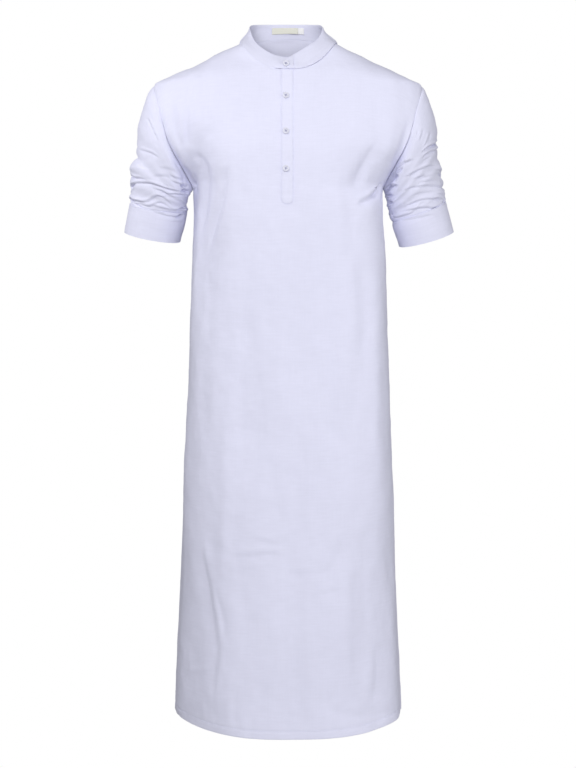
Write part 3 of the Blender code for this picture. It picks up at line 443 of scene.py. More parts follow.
BODY_CREASES = {
    FRONT: (
        Crease(((-228, -104), (-218, -138), (-206, -174), (-191, -204)), 6, -2),
        Crease(((-213, -94), (-208, -134), (-195, -182)), 6, 2.2),
        Crease(((-198, -105), (-195, -144), (-186, -189)), 5, -1.6),
        Crease(((-182, -105), (-184, -142), (-187, -189)), 4.2, 2.9, -1.3),
        Crease(((-166, -80), (-162, -134), (-167, -182)), 9, -2.6),
        Crease(((-146, -98), (-142, -142), (-147, -174)), 9, 1.8),
        Crease(((-189, -222), (-169, -209), (-153, -222), (-149, -251), (-153, -284), (-158, -316),
                (-166, -357)), 11, 4.4, 0.5, 0, 2),
        Crease(((-193, -215), (-184, -233), (-175, -251), (-167, -273)), 7, 3.4),
        Crease(((-109, -207), (-113, -236), (-122, -286), (-140, -342),
                (-153, -393)), 7, 4.4, 0.8, 0, 1.1),
        Crease(((-111, -207), (-113, -244), (-122, -276)), 10, -1.4),
        Crease(((-151, -393), (-142, -462), (-147, -544)), 12, 1.4),
        Crease(((124, -287), (137, -282), (149, -276), (160, -266), (167, -251)), 3.2, 5.6, 1.8),
        Crease(((151, -276), (164, -262), (173, -245)), 5.5, 4),
        Crease(((121, -264), (127, -240), (138, -216), (153, -191), (171, -160)), 8, 2.8, 1.2),
        Crease(((142, -258), (147, -229), (164, -204)), 10, -1.4),
        Crease(((220, -134), (213, -167), (200, -198), (184, -229)), 7, 3.2),
        Crease(((195, -120), (186, -171), (169, -215)), 12, -1.6),
        Crease(((96, -236), (107, -280), (120, -346)), 13, 1.8),
        Crease(((82, -280), (91, -338), (87, -393)), 11, -0.8),
        Crease(((-84, -407), (-78, -535), (-86, -644), (-76, -808)), 14, 2),
        Crease(((-47, -307), (-55, -462), (-46, -644)), 15, -1.5),
        Crease(((71, -426), (78, -608), (67, -790)), 15, 1.9),
        Crease(((44, -644), (36, -826), (47, -1008)), 14, -1.5),
        Crease(((127, -353), (138, -499), (127, -681)), 15, 1.6),
        Crease(((-147, -462), (-155, -608), (-149, -753)), 13, 1.4),
        Crease(((-120, -644), (-113, -826), (-124, -990)), 14, -1.6),
        Crease(((-158, -890), (-155, -935), (-146, -990), (-137, -1045), (-131, -1099), (-135, -1154),
                (-133, -1190)), 6.5, 3.6, 0.6, 0, 3),
        Crease(((-135, -972), (-127, -1012), (-118, -1048), (-113, -1090)), 4.5, 1.6),
        Crease(((-189, -1139), (-175, -1136), (-155, -1134), (-135, -1128)), 6, -1.2),
        Crease(((-147, -1179), (-149, -1208), (-144, -1241)), 4.5, 0.9, -0.3),
        Crease(((-137, -1161), (-137, -1201), (-129, -1248)), 4.5, 0.9),
        Crease(((-98, -1172), (-98, -1212), (-93, -1252)), 4.5, 0.8, -0.3),
        Crease(((-64, -895), (-42, -903), (-11, -908)), 4, 0.8, 0.5),
        Crease(((-107, -926), (-73, -928), (-33, -925), (7, -928)), 4, 0.9, 0.6),
        Crease(((-2, -957), (27, -961), (60, -957)), 4.5, 0.8, 0.5),
        Crease(((55, -999), (76, -995), (102, -988)), 4.5, 0.9, 0.5),
        Crease(((102, -863), (96, -908), (82, -946), (58, -972)), 8, 1.4, -0.8),
        Crease(((124, -935), (126, -1008), (122, -1099), (131, -1190)), 11, 2, -1.1),
        Crease(((162, -1081), (164, -1147), (155, -1212)), 9, 1.8, -0.9),
        Crease(((91, -1154), (84, -1212), (91, -1259)), 9, 1.1),
        Crease(((22, -1008), (15, -1136), (24, -1272)), 13, 1.4),
        Crease(((-47, -1008), (-38, -1154), (-47, -1272)), 13, 1.6),
        Crease(((-25, -1008), (-20, -1030), (-22, -1063)), 7, 0.8),
    ),
    BACK: (
        Crease(((-205, -110), (-208, -145), (-196, -188)), 9, 2.4, 1.2),
        Crease(((-172, -105), (-165, -150), (-172, -196)), 12, -2),
        Crease(((-186, -215), (-160, -214), (-136, -236), (-122, -290), (-126, -352)), 15, 5, 2.2),
        Crease(((-176, -262), (-150, -282), (-128, -291)), 5, 3, 1.8),
        Crease(((205, -112), (210, -150), (198, -190)), 9, 2.2, -1.2),
        Crease(((188, -212), (163, -208), (141, -228), (128, -281), (133, -344)), 15, 4.6, -2.2),
        Crease(((174, -250), (152, -268), (134, -276)), 5, 2.8, -1.6),
        Crease(((92, -205), (104, -262), (112, -330)), 8, 2, -1.2),
        Crease(((-88, -196), (-98, -250), (-112, -322)), 8, 2.2, 1.2),
        Crease(((-40, -52), (0, -60), (44, -50)), 7, 1.2, -0.8),
        Crease(((-62, -84), (-5, -98), (60, -80)), 12, 1.2),
        Crease(((66, -424), (72, -532), (64, -690)), 14, 1.6),
        Crease(((-38, -520), (-46, -640), (-36, -800)), 14, 1.6),
        Crease(((-150, -470), (-156, -620), (-150, -760)), 14, 1.4),
        Crease(((144, -880), (131, -960), (124, -1090), (128, -1180), (118, -1262)), 8, 4, -2),
        Crease(((116, -985), (108, -1030), (104, -1090)), 5.4, 1.8, -1),
        Crease(((-116, -930), (-122, -1020), (-114, -1150)), 10, 2.6, 1.2),
        Crease(((-160, -1060), (-168, -1130), (-158, -1210)), 8, 2.2, 1),
        Crease(((-20, -1060), (-14, -1140), (-22, -1250)), 11, 1.8, 0.8),
        Crease(((-84, -872), (-40, -878), (8, -870)), 3.8, 0.8, 0.5),
        Crease(((-52, -906), (-8, -911), (40, -904), (66, -908)), 3.8, 0.8, 0.5),
        Crease(((30, -982), (62, -990), (98, -978)), 4.4, 0.8, 0.5),
        Crease(((-64, -1022), (-30, -1014), (4, -1020)), 4.2, 0.7, 0.5),
    ),
}

# ------------------------------------------------------------------ curves
def column(table, name):
    """One named column of a table, as an array."""
    return np.array([getattr(row, name) for row in table], float)


def smooth(x, xs, ys):
    """A cubic curve through the points (xs, ys), without overshoot, read at x."""
    order = np.argsort(xs)
    xs, ys = np.asarray(xs, float)[order], np.asarray(ys, float)[order]
    step = np.diff(xs)
    rise = np.diff(ys) / step
    product = rise[:-1] * rise[1:]
    mean = np.where(np.abs(rise[:-1] + rise[1:]) > 0, rise[:-1] + rise[1:], 1)
    slope = np.concatenate([rise[:1], np.where(product > 0, 2 * product / mean, 0), rise[-1:]])
    x = np.clip(x, xs[0], xs[-1])
    i = np.clip(np.searchsorted(xs, x) - 1, 0, len(step) - 1)
    t = (x - xs[i]) / step[i]
    return (ys[i] * (1 + 2 * t) * (1 - t) ** 2 + ys[i + 1] * t * t * (3 - 2 * t)
            + step[i] * (slope[i] * t * (1 - t) ** 2 - slope[i + 1] * t * t * (1 - t)))


def ease(t):
    """0 to 1 with level ends."""
    t = np.clip(t, 0, 1)
    return t * t * (3 - 2 * t)


def rising(value, start, end):
    """0 up to start, 1 from end on, and eased between; start may be the greater one."""
    return ease((value - start) / (end - start))


def bell(away, width):
    """1 in the middle, dying away on both sides."""
    return np.exp(-(away / width) ** 2)


def groove(kind, away):
    return kind.depth * bell(away, kind.width)


def at_x(line, x):
    """The points of a polyline at the given x, on its straight stretches."""
    order = np.argsort(line[:, 0])
    return np.stack([np.interp(x, line[order, 0], line[order, axis]) for axis in range(3)], -1)


def row_at(grid, share):
    """The row of points a share of the way up a grid."""
    spot = share * (len(grid) - 1)
    low, part = int(spot), spot % 1
    return grid[low] * (1 - part) + grid[low + 1] * part


def unit(vectors):
    return vectors / np.linalg.norm(vectors, axis=-1, keepdims=True)


def normals(grid, outward, wrap=False):
    """Unit normals of a grid of points; outward is 1 or -1, wrap closes the rows to rings."""
    if wrap:
        grid = np.concatenate([grid[:, -1:], grid, grid[:, :1]], axis=1)
    out = unit(np.cross(np.gradient(grid, axis=0), np.gradient(grid, axis=1))) * outward
    return out[:, 1:-1] if wrap else out


def walked(grid, axis):
    """How far each point lies along its row (axis 1) or its column (axis 0)."""
    steps = np.linalg.norm(np.diff(grid, axis=axis), axis=-1)
    return np.concatenate([np.zeros_like(np.take(steps, [0], axis)), steps.cumsum(axis)], axis)


def curve_through(points, count):
    """A Catmull-Rom curve through 3D points."""
    points = np.array(points, float)
    points = np.concatenate([[2 * points[0] - points[1]], points, [2 * points[-1] - points[-2]]])
    spans = len(points) - 3
    t = np.linspace(0, spans, count)
    i = np.minimum(t.astype(int), spans - 1)
    t = (t - i)[:, None]
    a, b, c, d = (points[i + k] for k in range(4))
    return 0.5 * (2 * b + (c - a) * t + (2 * a - 5 * b + 4 * c - d) * t ** 2
                  + (3 * b - a - 3 * c + d) * t ** 3)


def rumpled(points, kind, number=0):
    """Seeded unevenness at each point, as a height; number tells like pieces apart."""
    apart, strong = 7.31, 1.6       # between the noise of two seeds; noise seldom reaches 1
    scaled = points.reshape(-1, 3) / np.array(kind.wavelengths) + (kind.seed + number) * apart
    values = np.zeros(len(scaled))
    for octave in range(kind.octaves):
        values += 0.5 ** octave * np.array([noise.noise(Vector(p) * 2 ** octave) for p in scaled])
    return kind.height * strong * values.reshape(points.shape[:-1])


# ------------------------------------------------------------------ body panels
def half_width(z):
    return smooth(z, column(BODY, "z"), column(BODY, "half_width"))


def depth(face, z):
    return smooth(z, column(BODY, "z"), column(BODY, "front_depth" if face == FRONT else "back_depth"))


def swing_share(turn):
    """Share of a half width at a turn (-1 to 1) round the girth from the centre line."""
    return np.sign(turn) * np.abs(np.sin(turn * pi / 2)) ** (2 / BODY_ROUNDNESS)


def on_body(face, x, z):
    """The body's smooth surface at x, z; it closes to y = 0 where x is the half width."""
    squarer = LEFT_SQUARER * (face == FRONT) * (x > 0) * rising(z, *LEFT_SQUARER_Z)
    roundness = BODY_ROUNDNESS + squarer
    open_part = np.clip(1 - (np.abs(x) / half_width(z)) ** roundness, 0, 1)
    return np.stack([x, face * depth(face, z) * open_part ** (1 / roundness), z], -1)


def shoulder_share(across):
    """How far out along the shoulder's seam, from the neck (0) to the tip (1)."""
    return np.clip((np.abs(across) - NECK_SHARE) / (1 - NECK_SHARE), 0, 1)


def top_line(face, across):
    """x and z of a panel's neck seam and shoulder seams."""
    neck_side = half_width(NECK_SIDE_Z)
    turn = 1 - (1 - np.minimum(np.abs(across) / NECK_SHARE, 1)) ** NECK_CROWD
    share, out = swing_share(turn), shoulder_share(across)
    neck_z = NECK_CENTRE_Z[face] + (NECK_SIDE_Z - NECK_CENTRE_Z[face]) * share ** NECK_SWEEP[face]
    width = neck_side * share + (TIP_X - neck_side) * out
    heights = np.linspace(NECK_SIDE_Z, TIP_Z, SHOULDER_POINTS)
    shoulder_z = smooth(width, half_width(heights), heights)
    return np.sign(across) * width, np.where(out > 0, shoulder_z, neck_z)


def side_steps():
    """How far down the side seam each of its levels lies, from 0 to 1."""
    side_z = column(SIDE_SEAM, "side_z")
    return (side_z[0] - side_z) / (side_z[0] - side_z[-1])


def panel_base(face, down, across):
    """The panel's smooth outer surface, a row for each down and a column for each across.

    down is 0 at the neck and shoulders, 1 at the underarm and 2 at the hem; across runs
    from -1 to 1, the wearer's right to left.
    """
    across = np.asarray(across, float)
    top_x, top_z = top_line(face, across)
    lower_share = swing_share(across)
    centre_z = column(SIDE_SEAM, "front_z" if face == FRONT else "back_z")
    rows = []
    for level in down:
        side = smooth(max(level - 1, 0), side_steps(), column(SIDE_SEAM, "side_z"))
        centre = smooth(max(level - 1, 0), side_steps(), centre_z)
        z = centre + (side - centre) * np.abs(lower_share) ** HEM_SWEEP
        x = half_width(side) * lower_share
        if level < 1:
            done = (1 - np.cos(pi * level)) / 2
            reach = smooth(level, column(ARMHOLE, "down"), column(ARMHOLE, "reach"))
            edge_x = (half_width(TIP_Z + (SIDE_SEAM[0].side_z - TIP_Z) * done)
                      * (1 - reach ** BODY_ROUNDNESS) ** (1 / BODY_ROUNDNESS))
            share = top_x / TIP_X * (1 - done) + lower_share * done
            plumb = (1 - shoulder_share(across)) * rising(done, PLUMB_SHARE, 0)
            x, z = edge_x * share, top_z + (z - top_z) * done
            x += (top_x - x) * plumb
        row = on_body(face, x, z)
        if level == 0:
            row[np.abs(across) > NECK_SHARE, 1] = 0     # front meets back along the shoulders
        rows.append(row)
    return np.array(rows)


def fold_depths(folds, x, z):
    """How far the folds draw the cloth in at each x, z."""
    drawn_in = np.zeros_like(x)
    steps = np.linspace(0, 1, FOLD_POINTS)
    for fold in folds:
        bend_x = 2 * fold.x1 - (fold.x0 + fold.x2) / 2
        bend_z = 2 * fold.z1 - (fold.z0 + fold.z2) / 2
        line_x = (1 - steps) ** 2 * fold.x0 + 2 * steps * (1 - steps) * bend_x + steps ** 2 * fold.x2
        line_z = (1 - steps) ** 2 * fold.z0 + 2 * steps * (1 - steps) * bend_z + steps ** 2 * fold.z2
        away = np.hypot(x[..., None] - line_x, z[..., None] - line_z)
        strength = ease(steps / fold.comes_in) * ease((1 - steps) / FOLD_DIES)
        drawn_in += fold.depth * strength[away.argmin(-1)] * bell(away.min(-1), fold.width)
    return drawn_in


def settled(points):
    """Points of the smooth form after the cloth has settled on the wearer."""
    x, y, z = np.moveaxis(np.array(points, float), -1, 0)
    aside = np.abs(x)
    shoulder = rising(aside, *SHOULDER_SINK_X) * rising(z, *SHOULDER_SINK_Z)
    neck = rising(z, *NECK_CLOSING_Z) * rising(aside, *NECK_CLOSING_X)
    sunk = np.where(x > 0, SHOULDER_SINK[LEFT], SHOULDER_SINK[RIGHT])
    return np.stack([x * (1 - NECK_CLOSING * neck), y, z - sunk * shoulder], -1)


def tucked(points):
    """Points near the armholes drawn in with the tuck there."""
    points = np.array(points, float)
    flat = points.reshape(-1, 3)
    down = armhole_down()
    low = down > TUCK_FROM
    start, end = TUCK_SPAN
    drawn = np.sin(pi * np.clip((down[low] - start) / (end - start), 0, 1))
    reach = 0.10                    # from the middle of the seam's lower half
    for face, deep in TUCK.items():
        seam = settled(panel_base(face, down, [1.0])[:, 0])[low]
        for side in (RIGHT, LEFT):
            line = seam * (side, 1, 1)
            near = (np.abs(flat - line.mean(0)) < reach).all(-1)
            away = np.linalg.norm(flat[near, None] - line, axis=-1)
            flat[near, 1] -= face * deep * drawn[away.argmin(-1)] * bell(away.min(-1), TUCK_WIDTH)
    return flat.reshape(points.shape)


# ------------------------------------------------------------------ pressing creases
def cloth_tree(grid, outward, wrap=False):
    """A grid as a surface that points can be thrown onto."""
    faces = quads(*grid.shape[:2], wrap)[:, ::-outward]
    return BVHTree.FromPolygons([Vector(p) for p in grid.reshape(-1, 3)], faces.tolist())


def crease_line(tree, crease, face):
    """The crease's points on the cloth, evenly spaced, and the cloth's normals there."""
    eye = Vector((0, face * EYE_Y, EYE_Z))
    spots = []
    for x, z in crease.points:
        aim = Vector((x, 0, z)) / 1000
        spot = tree.ray_cast(eye, aim - eye)[0]
        spots.append(spot if spot is not None else tree.find_nearest(aim)[0])
    if crease.behind:
        turn = 1 if crease.behind > 0 else -1
        spots = spots[::turn]
        slope = 0.7 * (spots[-1] - spots[-2]).normalized().z        # it levels out behind
        for step in (0.5, 1.0):
            reach = abs(crease.behind) / 1000 * step
            spots.append(tree.find_nearest(spots[-1] + Vector((0, -face * reach, slope * reach)))[0])
        spots = spots[::turn]
    line = curve_through(spots, CREASE_POINTS * len(spots))
    found = [tree.find_nearest(Vector(p)) for p in line]
    return np.array([f[0] for f in found]), np.array([f[1] for f in found])


def nearest_on_line(points, line):
    """For each point: its offset from the line, the stretch it is nearest to, and how far
    along that stretch."""
    start, step = line[:-1], np.diff(line, axis=0)
    part = ((points[:, None] - start) * step).sum(-1) / (step ** 2).sum(-1)
    part = np.clip(part, 0, 1)
    offset = points[:, None] - start - part[..., None] * step
    nearest = (offset ** 2).sum(-1).argmin(-1)
    pick = np.arange(len(points))
    return offset[pick, nearest], nearest, part[pick, nearest]


def pressed(grid, out, creases, face, tree, crispness):
    """How far creases move each point of a grid out along its normal out."""
    roll_away, roll_width, roll_side = 2.2, 1.3, 0.8        # of a ridge, in crease widths
    tail, tail_width = 0.3, 0.6     # ends die away over this share, down to this width
    alike = (0.1, 0.4)              # a crease works where the cloth faces nearly as it does
    height = np.zeros(grid.shape[:2])
    for crease in creases:
        line, up = crease_line(tree, crease, face)
        left = unit(np.cross(up, np.gradient(line, axis=0)))
        width, deep, ridge = crease.width / 1000, crease.depth / 1000, crease.ridge / 1000
        gentle = crease.far or crispness.far
        reach = (3 + 1.5 * gentle) * width
        near = ((grid > line.min(0) - reach) & (grid < line.max(0) + reach)).all(-1)
        points = grid[near]
        if not len(points):
            continue
        offset, nearest, part = nearest_on_line(points, line)
        same_side = rising((out[near] * up[nearest]).sum(-1), *alike)
        side = np.sign((offset * left[nearest]).sum(-1))
        t = (nearest + part) / (len(line) - 1)
        strength = ease(np.minimum(t, 1 - t) / tail)
        roll = np.sign(ridge) if ridge else 1
        s = side * roll * np.linalg.norm(offset, axis=-1)
        s = s / (width * (tail_width + (1 - tail_width) * strength))
        spread = np.where(s > 0, roll_side, gentle) if ridge else 1.0
        height[near] += strength * same_side * (abs(ridge) * bell(s - roll_away, roll_width)
                                                - deep * np.exp(-np.abs(s / spread) ** crispness.sharp))
    return height


# ------------------------------------------------------------------ meshes
def placed(name, data):
    """An object in the scene for a mesh, a lamp or a camera."""
    made = bpy.data.objects.new(name, data)
    bpy.context.scene.collection.objects.link(made)
    return made


def mesh_of(name, shape):
    """A plain mesh of a bmesh, which is freed."""
    mesh = bpy.data.meshes.new(name)
    shape.to_mesh(mesh)
    shape.free()
    return mesh


def applied(piece):
    """The piece's mesh with its modifiers applied; the piece itself goes."""
    bpy.context.view_layer.update()
    mesh = bpy.data.meshes.new_from_object(piece.evaluated_get(bpy.context.evaluated_depsgraph_get()))
    bpy.data.objects.remove(piece)
    return mesh


def quads(rows, columns, wrap=False):
    """Corner numbers of a grid's faces, rows x columns."""
    ids = np.arange(rows * columns).reshape(rows, columns)
    if wrap:
        ids = np.concatenate([ids, ids[:, :1]], axis=1)
    return np.stack([ids[:-1, :-1], ids[:-1, 1:], ids[1:, 1:], ids[1:, :-1]], -1).reshape(-1, 4)


def cloth_piece(name, grid, finish, wall, outward=1, wrap=False, lay=None, cut_out=None, edge=0.0):
    """A sheet through a grid of points, thickened on its inner side.

    outward is 1 where rows x columns turn to the outside; lay gives each corner's place on
    the flat cloth (its weave), rows x columns (one more column where it wraps); cut_out
    marks faces to leave out; edge rounds the sheet's rim.
    """
    faces = quads(*grid.shape[:2], wrap)
    if lay is None:
        lay = np.stack([walked(grid, 1), walked(grid, 0)], -1)
    corners = quads(*lay.shape[:2])
    if cut_out is not None:
        faces, corners = faces[~cut_out.ravel()], corners[~cut_out.ravel()]
    if outward > 0:
        faces, corners = faces[:, ::-1], corners[:, ::-1]
    mesh = bpy.data.meshes.new(name)
    mesh.from_pydata(grid.reshape(-1, 3), [], faces.tolist())
    weave = mesh.uv_layers.new(name="weave")
    weave.data.foreach_set("uv", lay.reshape(-1, 2)[corners.ravel()].astype(np.float32).ravel())
    mesh.materials.append(finish)
    mesh.shade_smooth()
    piece = placed(name, mesh)
    solidify = piece.modifiers.new("wall", "SOLIDIFY")
    solidify.thickness, solidify.offset = wall, -1
    if edge:
        bevel = piece.modifiers.new("soft edge", "BEVEL")
        bevel.width, bevel.segments, bevel.limit_method = edge, 2, "ANGLE"
        bevel.angle_limit = 1.0
    return piece


def ring_lay(grid):
    """Each point's place on the flat cloth of a sleeve or cuff, and the first column again."""
    girth = walked(np.concatenate([grid, grid[:, :1]], axis=1), 1)
    round_it = girth / girth[:, -1:] * girth[:, -1].mean()
    length = walked(grid, 0)
    return np.stack([round_it, -np.concatenate([length, length[:, :1]], axis=1)], -1)


# ------------------------------------------------------------------ front and back
def panel_across():
    """A panel's columns."""
    inner = np.linspace(0, EVEN_COLUMNS_END, PANEL_COLUMNS - len(SIDE_COLUMNS) + 1)
    half = np.concatenate([inner, SIDE_COLUMNS])
    return np.concatenate([-half[:0:-1], half])


def armhole_down():
    return np.linspace(0, 1, ARMHOLE_ROWS + 1)


def panel_down():
    """A panel's rows, top to hem."""
    return np.concatenate([armhole_down(), np.linspace(1, 2 - HEM_ZONE, SIDE_ROWS)[1:],
                           np.linspace(2 - HEM_ZONE, 2, HEM_ROWS + 1)[1:]])


def panel_surface(face):
    """Outer surface of the front or the back, with its folds, creases, seams and hem."""
    across, down = panel_across(), panel_down()
    base = grid = settled(panel_base(face, down, across))
    out = normals(grid, -face)
    along_row, down_column = walked(grid, 1), walked(grid, 0)
    side_away = np.minimum(along_row, along_row[:, -1:] - along_row)
    hem_away = down_column[-1:] - down_column
    seam_away = np.minimum(side_away, down_column)
    level = ease(seam_away / SEAM_LEVEL)    # at a seam no cloth moves along y, so it stays shut
    out = unit(out * np.stack([np.ones_like(level), level, np.ones_like(level)], -1))
    x, z = grid[..., 0], grid[..., 2]
    beside_placket = rising(np.abs(x), *BESIDE_PLACKET_X)
    below_placket = rising(PLACKET_FOOT_Z - z, *BELOW_PLACKET)
    calm_placket = 1 if face == BACK else np.maximum(beside_placket, below_placket)
    broad_calm = ease(seam_away / SEAM_BROAD_CALM) * calm_placket
    calm = ease(seam_away / SEAM_CALM) * calm_placket

    broad = -fold_depths(FOLDS[face], x, z) * broad_calm
    height = pressed(grid, out, BODY_CREASES[face], face, cloth_tree(grid, -face), SOFT) * calm
    height += rumpled(grid, PANEL_BROAD, face) * broad_calm
    for kind in PANEL_RUMPLES:
        height += rumpled(grid, kind, face) * calm
    height -= groove(SIDE_GROOVE, side_away) * rising(down, *ARMHOLE_SHOWS)[:, None]
    height -= groove(SHOULDER_GROOVE, down_column) * (np.abs(across) >= NECK_SHARE)
    pucker = rumpled(grid, HEM_PUCKER, face)
    height -= (HEM_GROOVE.depth + pucker) * bell(hem_away - HEM_DEPTH, HEM_GROOVE.width)
    height += pucker * rising(hem_away, HEM_PUCKER_REACH, 0)
    grid = tucked(grid + out * height[..., None] + out * LEVEL_FOLDS * broad[..., None])
    flat_x = walked(base * (1, 1, 0), 1)
    lay = np.stack([flat_x - flat_x[:, len(across) // 2, None],
                    down_column[ARMHOLE_ROWS] - down_column], -1)
    return grid, lay


def turned_hem(grid, lay, face):
    """The grid with its hem folded inwards and up."""
    out = normals(grid, -face)
    inward = -out[-1]
    drop = unit(grid[-1] - grid[-2])
    centre = grid[-1] + inward * TURNING
    fold = [centre - inward * TURNING * np.cos(a) + drop * TURNING * np.sin(a)
            for a in np.radians(TURNING_DEGREES)]
    up = [grid[-1 - k] - out[-1 - k] * 2 * TURNING for k in range(1, TURNED_UP_ROWS + 1)]
    rows = np.array(fold + up)
    extra = np.array([lay[-1] + (0, -TURNING * (k + 1)) for k in range(len(rows))])
    return np.concatenate([grid, rows]), np.concatenate([lay, extra])


def slit(points, middle):
    """A grid with its middle column doubled, and the two drawn apart by the slit's width."""
    opened = np.insert(points, middle, points[:, middle], axis=1)
    opened[:, middle, 0] -= SLIT_WIDTH / 2
    opened[:, middle + 1, 0] += SLIT_WIDTH / 2
    return opened


def make_panels(cotton):
    pieces = {}
    for face, name in ((FRONT, "front_panel"), (BACK, "back_panel")):
        surface, lay = panel_surface(face)
        grid, lay = turned_hem(surface, lay, face)
        cut_out = None
        if face == FRONT:
            middle = grid.shape[1] // 2
            grid, lay = slit(grid, middle), slit(lay, middle)
            cut_out = np.zeros((grid.shape[0] - 1, grid.shape[1] - 1), bool)
            cut_out[:, middle] = grid[:-1, middle, 2] > SLIT_END_Z
        piece = cloth_piece(f"{name}_cloth", grid, cotton, CLOTH, -face, lay=lay, cut_out=cut_out)
        pieces[name] = (piece, surface)
    return pieces


# ------------------------------------------------------------------ sleeves and cuffs
def armhole_loop(side):
    """Armhole edge: from the shoulder tip down the front, round the underarm, up the back."""
    front = panel_base(FRONT, armhole_down(), [1.0])[:, 0]
    back = panel_base(BACK, armhole_down(), [1.0])[:, 0]
    loop = np.concatenate([front, back[-2:0:-1]])
    loop[:, 0] *= side
    return loop


def ring_angles():
    """Where the points of the armhole come on an oval: 0 outside, a quarter turn in front."""
    down = armhole_down()
    return pi * np.concatenate([down, 2 - down[-2:0:-1]])


def ring_points(side, along, angles):
    """Plain oval rings of a sleeve: a row for each along."""
    rings = RINGS[side]
    value = {name: smooth(along, column(rings, "along"), column(rings, name))[:, None]
             for name in Ring._fields[1:]}
    out, front = np.cos(angles)[None, :], np.sin(angles)[None, :]
    reach = np.where(front > 0, value["front"], value["back"]) * front
    x = (value["tip_x"] + value["pit_x"]) / 2 + (value["tip_x"] - value["pit_x"]) / 2 * out
    z = (value["tip_z"] + value["pit_z"]) / 2 + (value["tip_z"] - value["pit_z"]) / 2 * out
    y = value["centre_y"] - reach * np.cos(value["tilt"])
    return np.stack([side * x, y, z - reach * np.sin(value["tilt"])], -1)


def roll_heights(side, along, angles):
    """How far the broad rolls of cloth stand out, for each ring and angle."""
    along, angles = along[:, None], angles[None, :]
    height = np.zeros(np.broadcast(along, angles).shape)
    for roll in ROLLS[side]:
        middle = roll.along + roll.skew * np.cos(angles)
        around = (0.5 + 0.5 * np.cos(angles - roll.facing)) ** roll.grip
        height += roll.height * around * bell(along - middle, roll.width)
    return height * rising(along, CUFF_SEAM, CUFF_SEAM - ROLLS_END)


def across_the_back(side):
    """The other sleeve's creases, mirrored and shifted, for the back of this one."""
    moved = []
    for crease in SLEEVE_CREASES[-side]:
        points = tuple((-x, z + BACK_SHIFT[side] * BACK_SHIFT_TURNS[i % 2])
                       for i, (x, z) in enumerate(crease.points))
        moved.append(crease._replace(points=points, ridge=-crease.ridge))
    return moved


def sleeve_surface(side):
    """Outer surface of a sleeve: rings from the armhole to just inside the cuff."""
    angles = ring_angles()
    along = np.concatenate([CAP_RINGS, np.linspace(PLAIN_FROM, BUNCHED_FROM, PLAIN_RINGS),
                            np.linspace(BUNCHED_FROM, SLEEVE_END, BUNCHED_RINGS + 1)[1:]])
    grid = ring_points(side, along, angles)
    cap = 1 - ease(along / CAP_END)
    grid = settled(grid + (armhole_loop(side) - grid[0])[None] * cap[:, None, None])
    out = normals(grid, -side, wrap=True)
    tree = cloth_tree(grid, -side, wrap=True)
    armhole_away = walked(grid, 0)
    calm = ease(armhole_away / ARMHOLE_CALM)
    height = roll_heights(side, along, angles) * calm
    height += pressed(grid, out, SLEEVE_CREASES[side], FRONT, tree, CRISP) * calm
    height += pressed(grid, out, across_the_back(side), BACK, tree, CRISP) * calm
    height += (1 + rising(along, *BUNCHED)[:, None] / 3) * rumpled(grid, SLEEVE_RUMPLE, side) * calm
    height += rumpled(grid, SLEEVE_GRAIN, side) * calm
    down = np.minimum(angles, 2 * pi - angles) / pi
    height -= groove(ARMHOLE_GROOVE, armhole_away) * rising(down, *ARMHOLE_SHOWS)
    height -= SLEEVE_DIP * rising(along, *SLEEVE_DIP_ALONG)[:, None]
    lay = ring_lay(grid)
    grid = tucked(grid + out * height[..., None])
    back_in = unit(grid[0] - grid[2])
    turned = [grid[0] + back_in * back - out[0] * inward for back, inward, _ in ARMHOLE_TURNING]
    turned_lay = [lay[0] + (0, flat) for _, _, flat in ARMHOLE_TURNING]
    return np.concatenate([turned, grid]), np.concatenate([turned_lay, lay])


def cuff_surface(side):
    """Outer surface of a cuff; its top edge laps over the end of the sleeve."""
    along = np.linspace(CUFF_SEAM - CUFF_LAP, CUFF_RIM, CUFF_RINGS)
    grid = ring_points(side, along, ring_angles())
    out = normals(grid, -side, wrap=True)
    height = sum(rumpled(grid, kind, side) for kind in CUFF_RUMPLES)
    height += pressed(grid, out, CUFF_CREASES[side], FRONT, cloth_tree(grid, -side, wrap=True), CRISP)
    height -= groove(CUFF_GROOVE, walked(grid, 0) - CUFF_STITCHES)
    return grid + out * (height + CUFF_SEAT)[..., None], ring_lay(grid)


def make_sleeves(cotton):
    pieces = {}
    for side, word in ((RIGHT, "right"), (LEFT, "left")):
        for name, (grid, lay), wall, edge in (("sleeve", sleeve_surface(side), CLOTH, 0),
                                              ("cuff", cuff_surface(side), CUFF_WALL, CUFF_EDGE)):
            piece = cloth_piece(f"{name}_{word}_cloth", grid, cotton, wall, -side, True, lay, edge=edge)
            pieces[f"{name}_{word}"] = (piece, grid)
    return pieces


# ------------------------------------------------------------------ collar
def neck_path():
    """The face and across of each column of the band, from the wearer's left end round the
    back to the right end."""
    dense = np.linspace(-NECK_SHARE, NECK_SHARE, NECK_POINTS)
    left_end, right_end = np.interp((LAP_LEFT_END_X, LAP_RIGHT_END_X), top_line(FRONT, dense)[0], dense)
    left = np.linspace(left_end, NECK_SHARE, COLLAR_LEFT)
    back = np.linspace(NECK_SHARE, -NECK_SHARE, COLLAR_BACK)[1:-1]
    right = np.linspace(-NECK_SHARE, right_end, COLLAR_RIGHT)
    return [(FRONT, u) for u in left] + [(BACK, u) for u in back] + [(FRONT, u) for u in right]


def panel_rise(face, across):
    """The panel's own direction across the neck seam, upwards."""
    step = 0.01
    near = np.clip(across, 2 * step - NECK_SHARE, NECK_SHARE - 2 * step)
    patch = panel_base(face, [0.0, 5 * step], [near - step, near + step])
    along_seam = patch[0, 1] - patch[0, 0]
    outward = np.cross(along_seam, patch[1, 0] - patch[0, 0])
    rise = unit(np.cross(along_seam, outward))
    return rise * np.sign(rise[2])


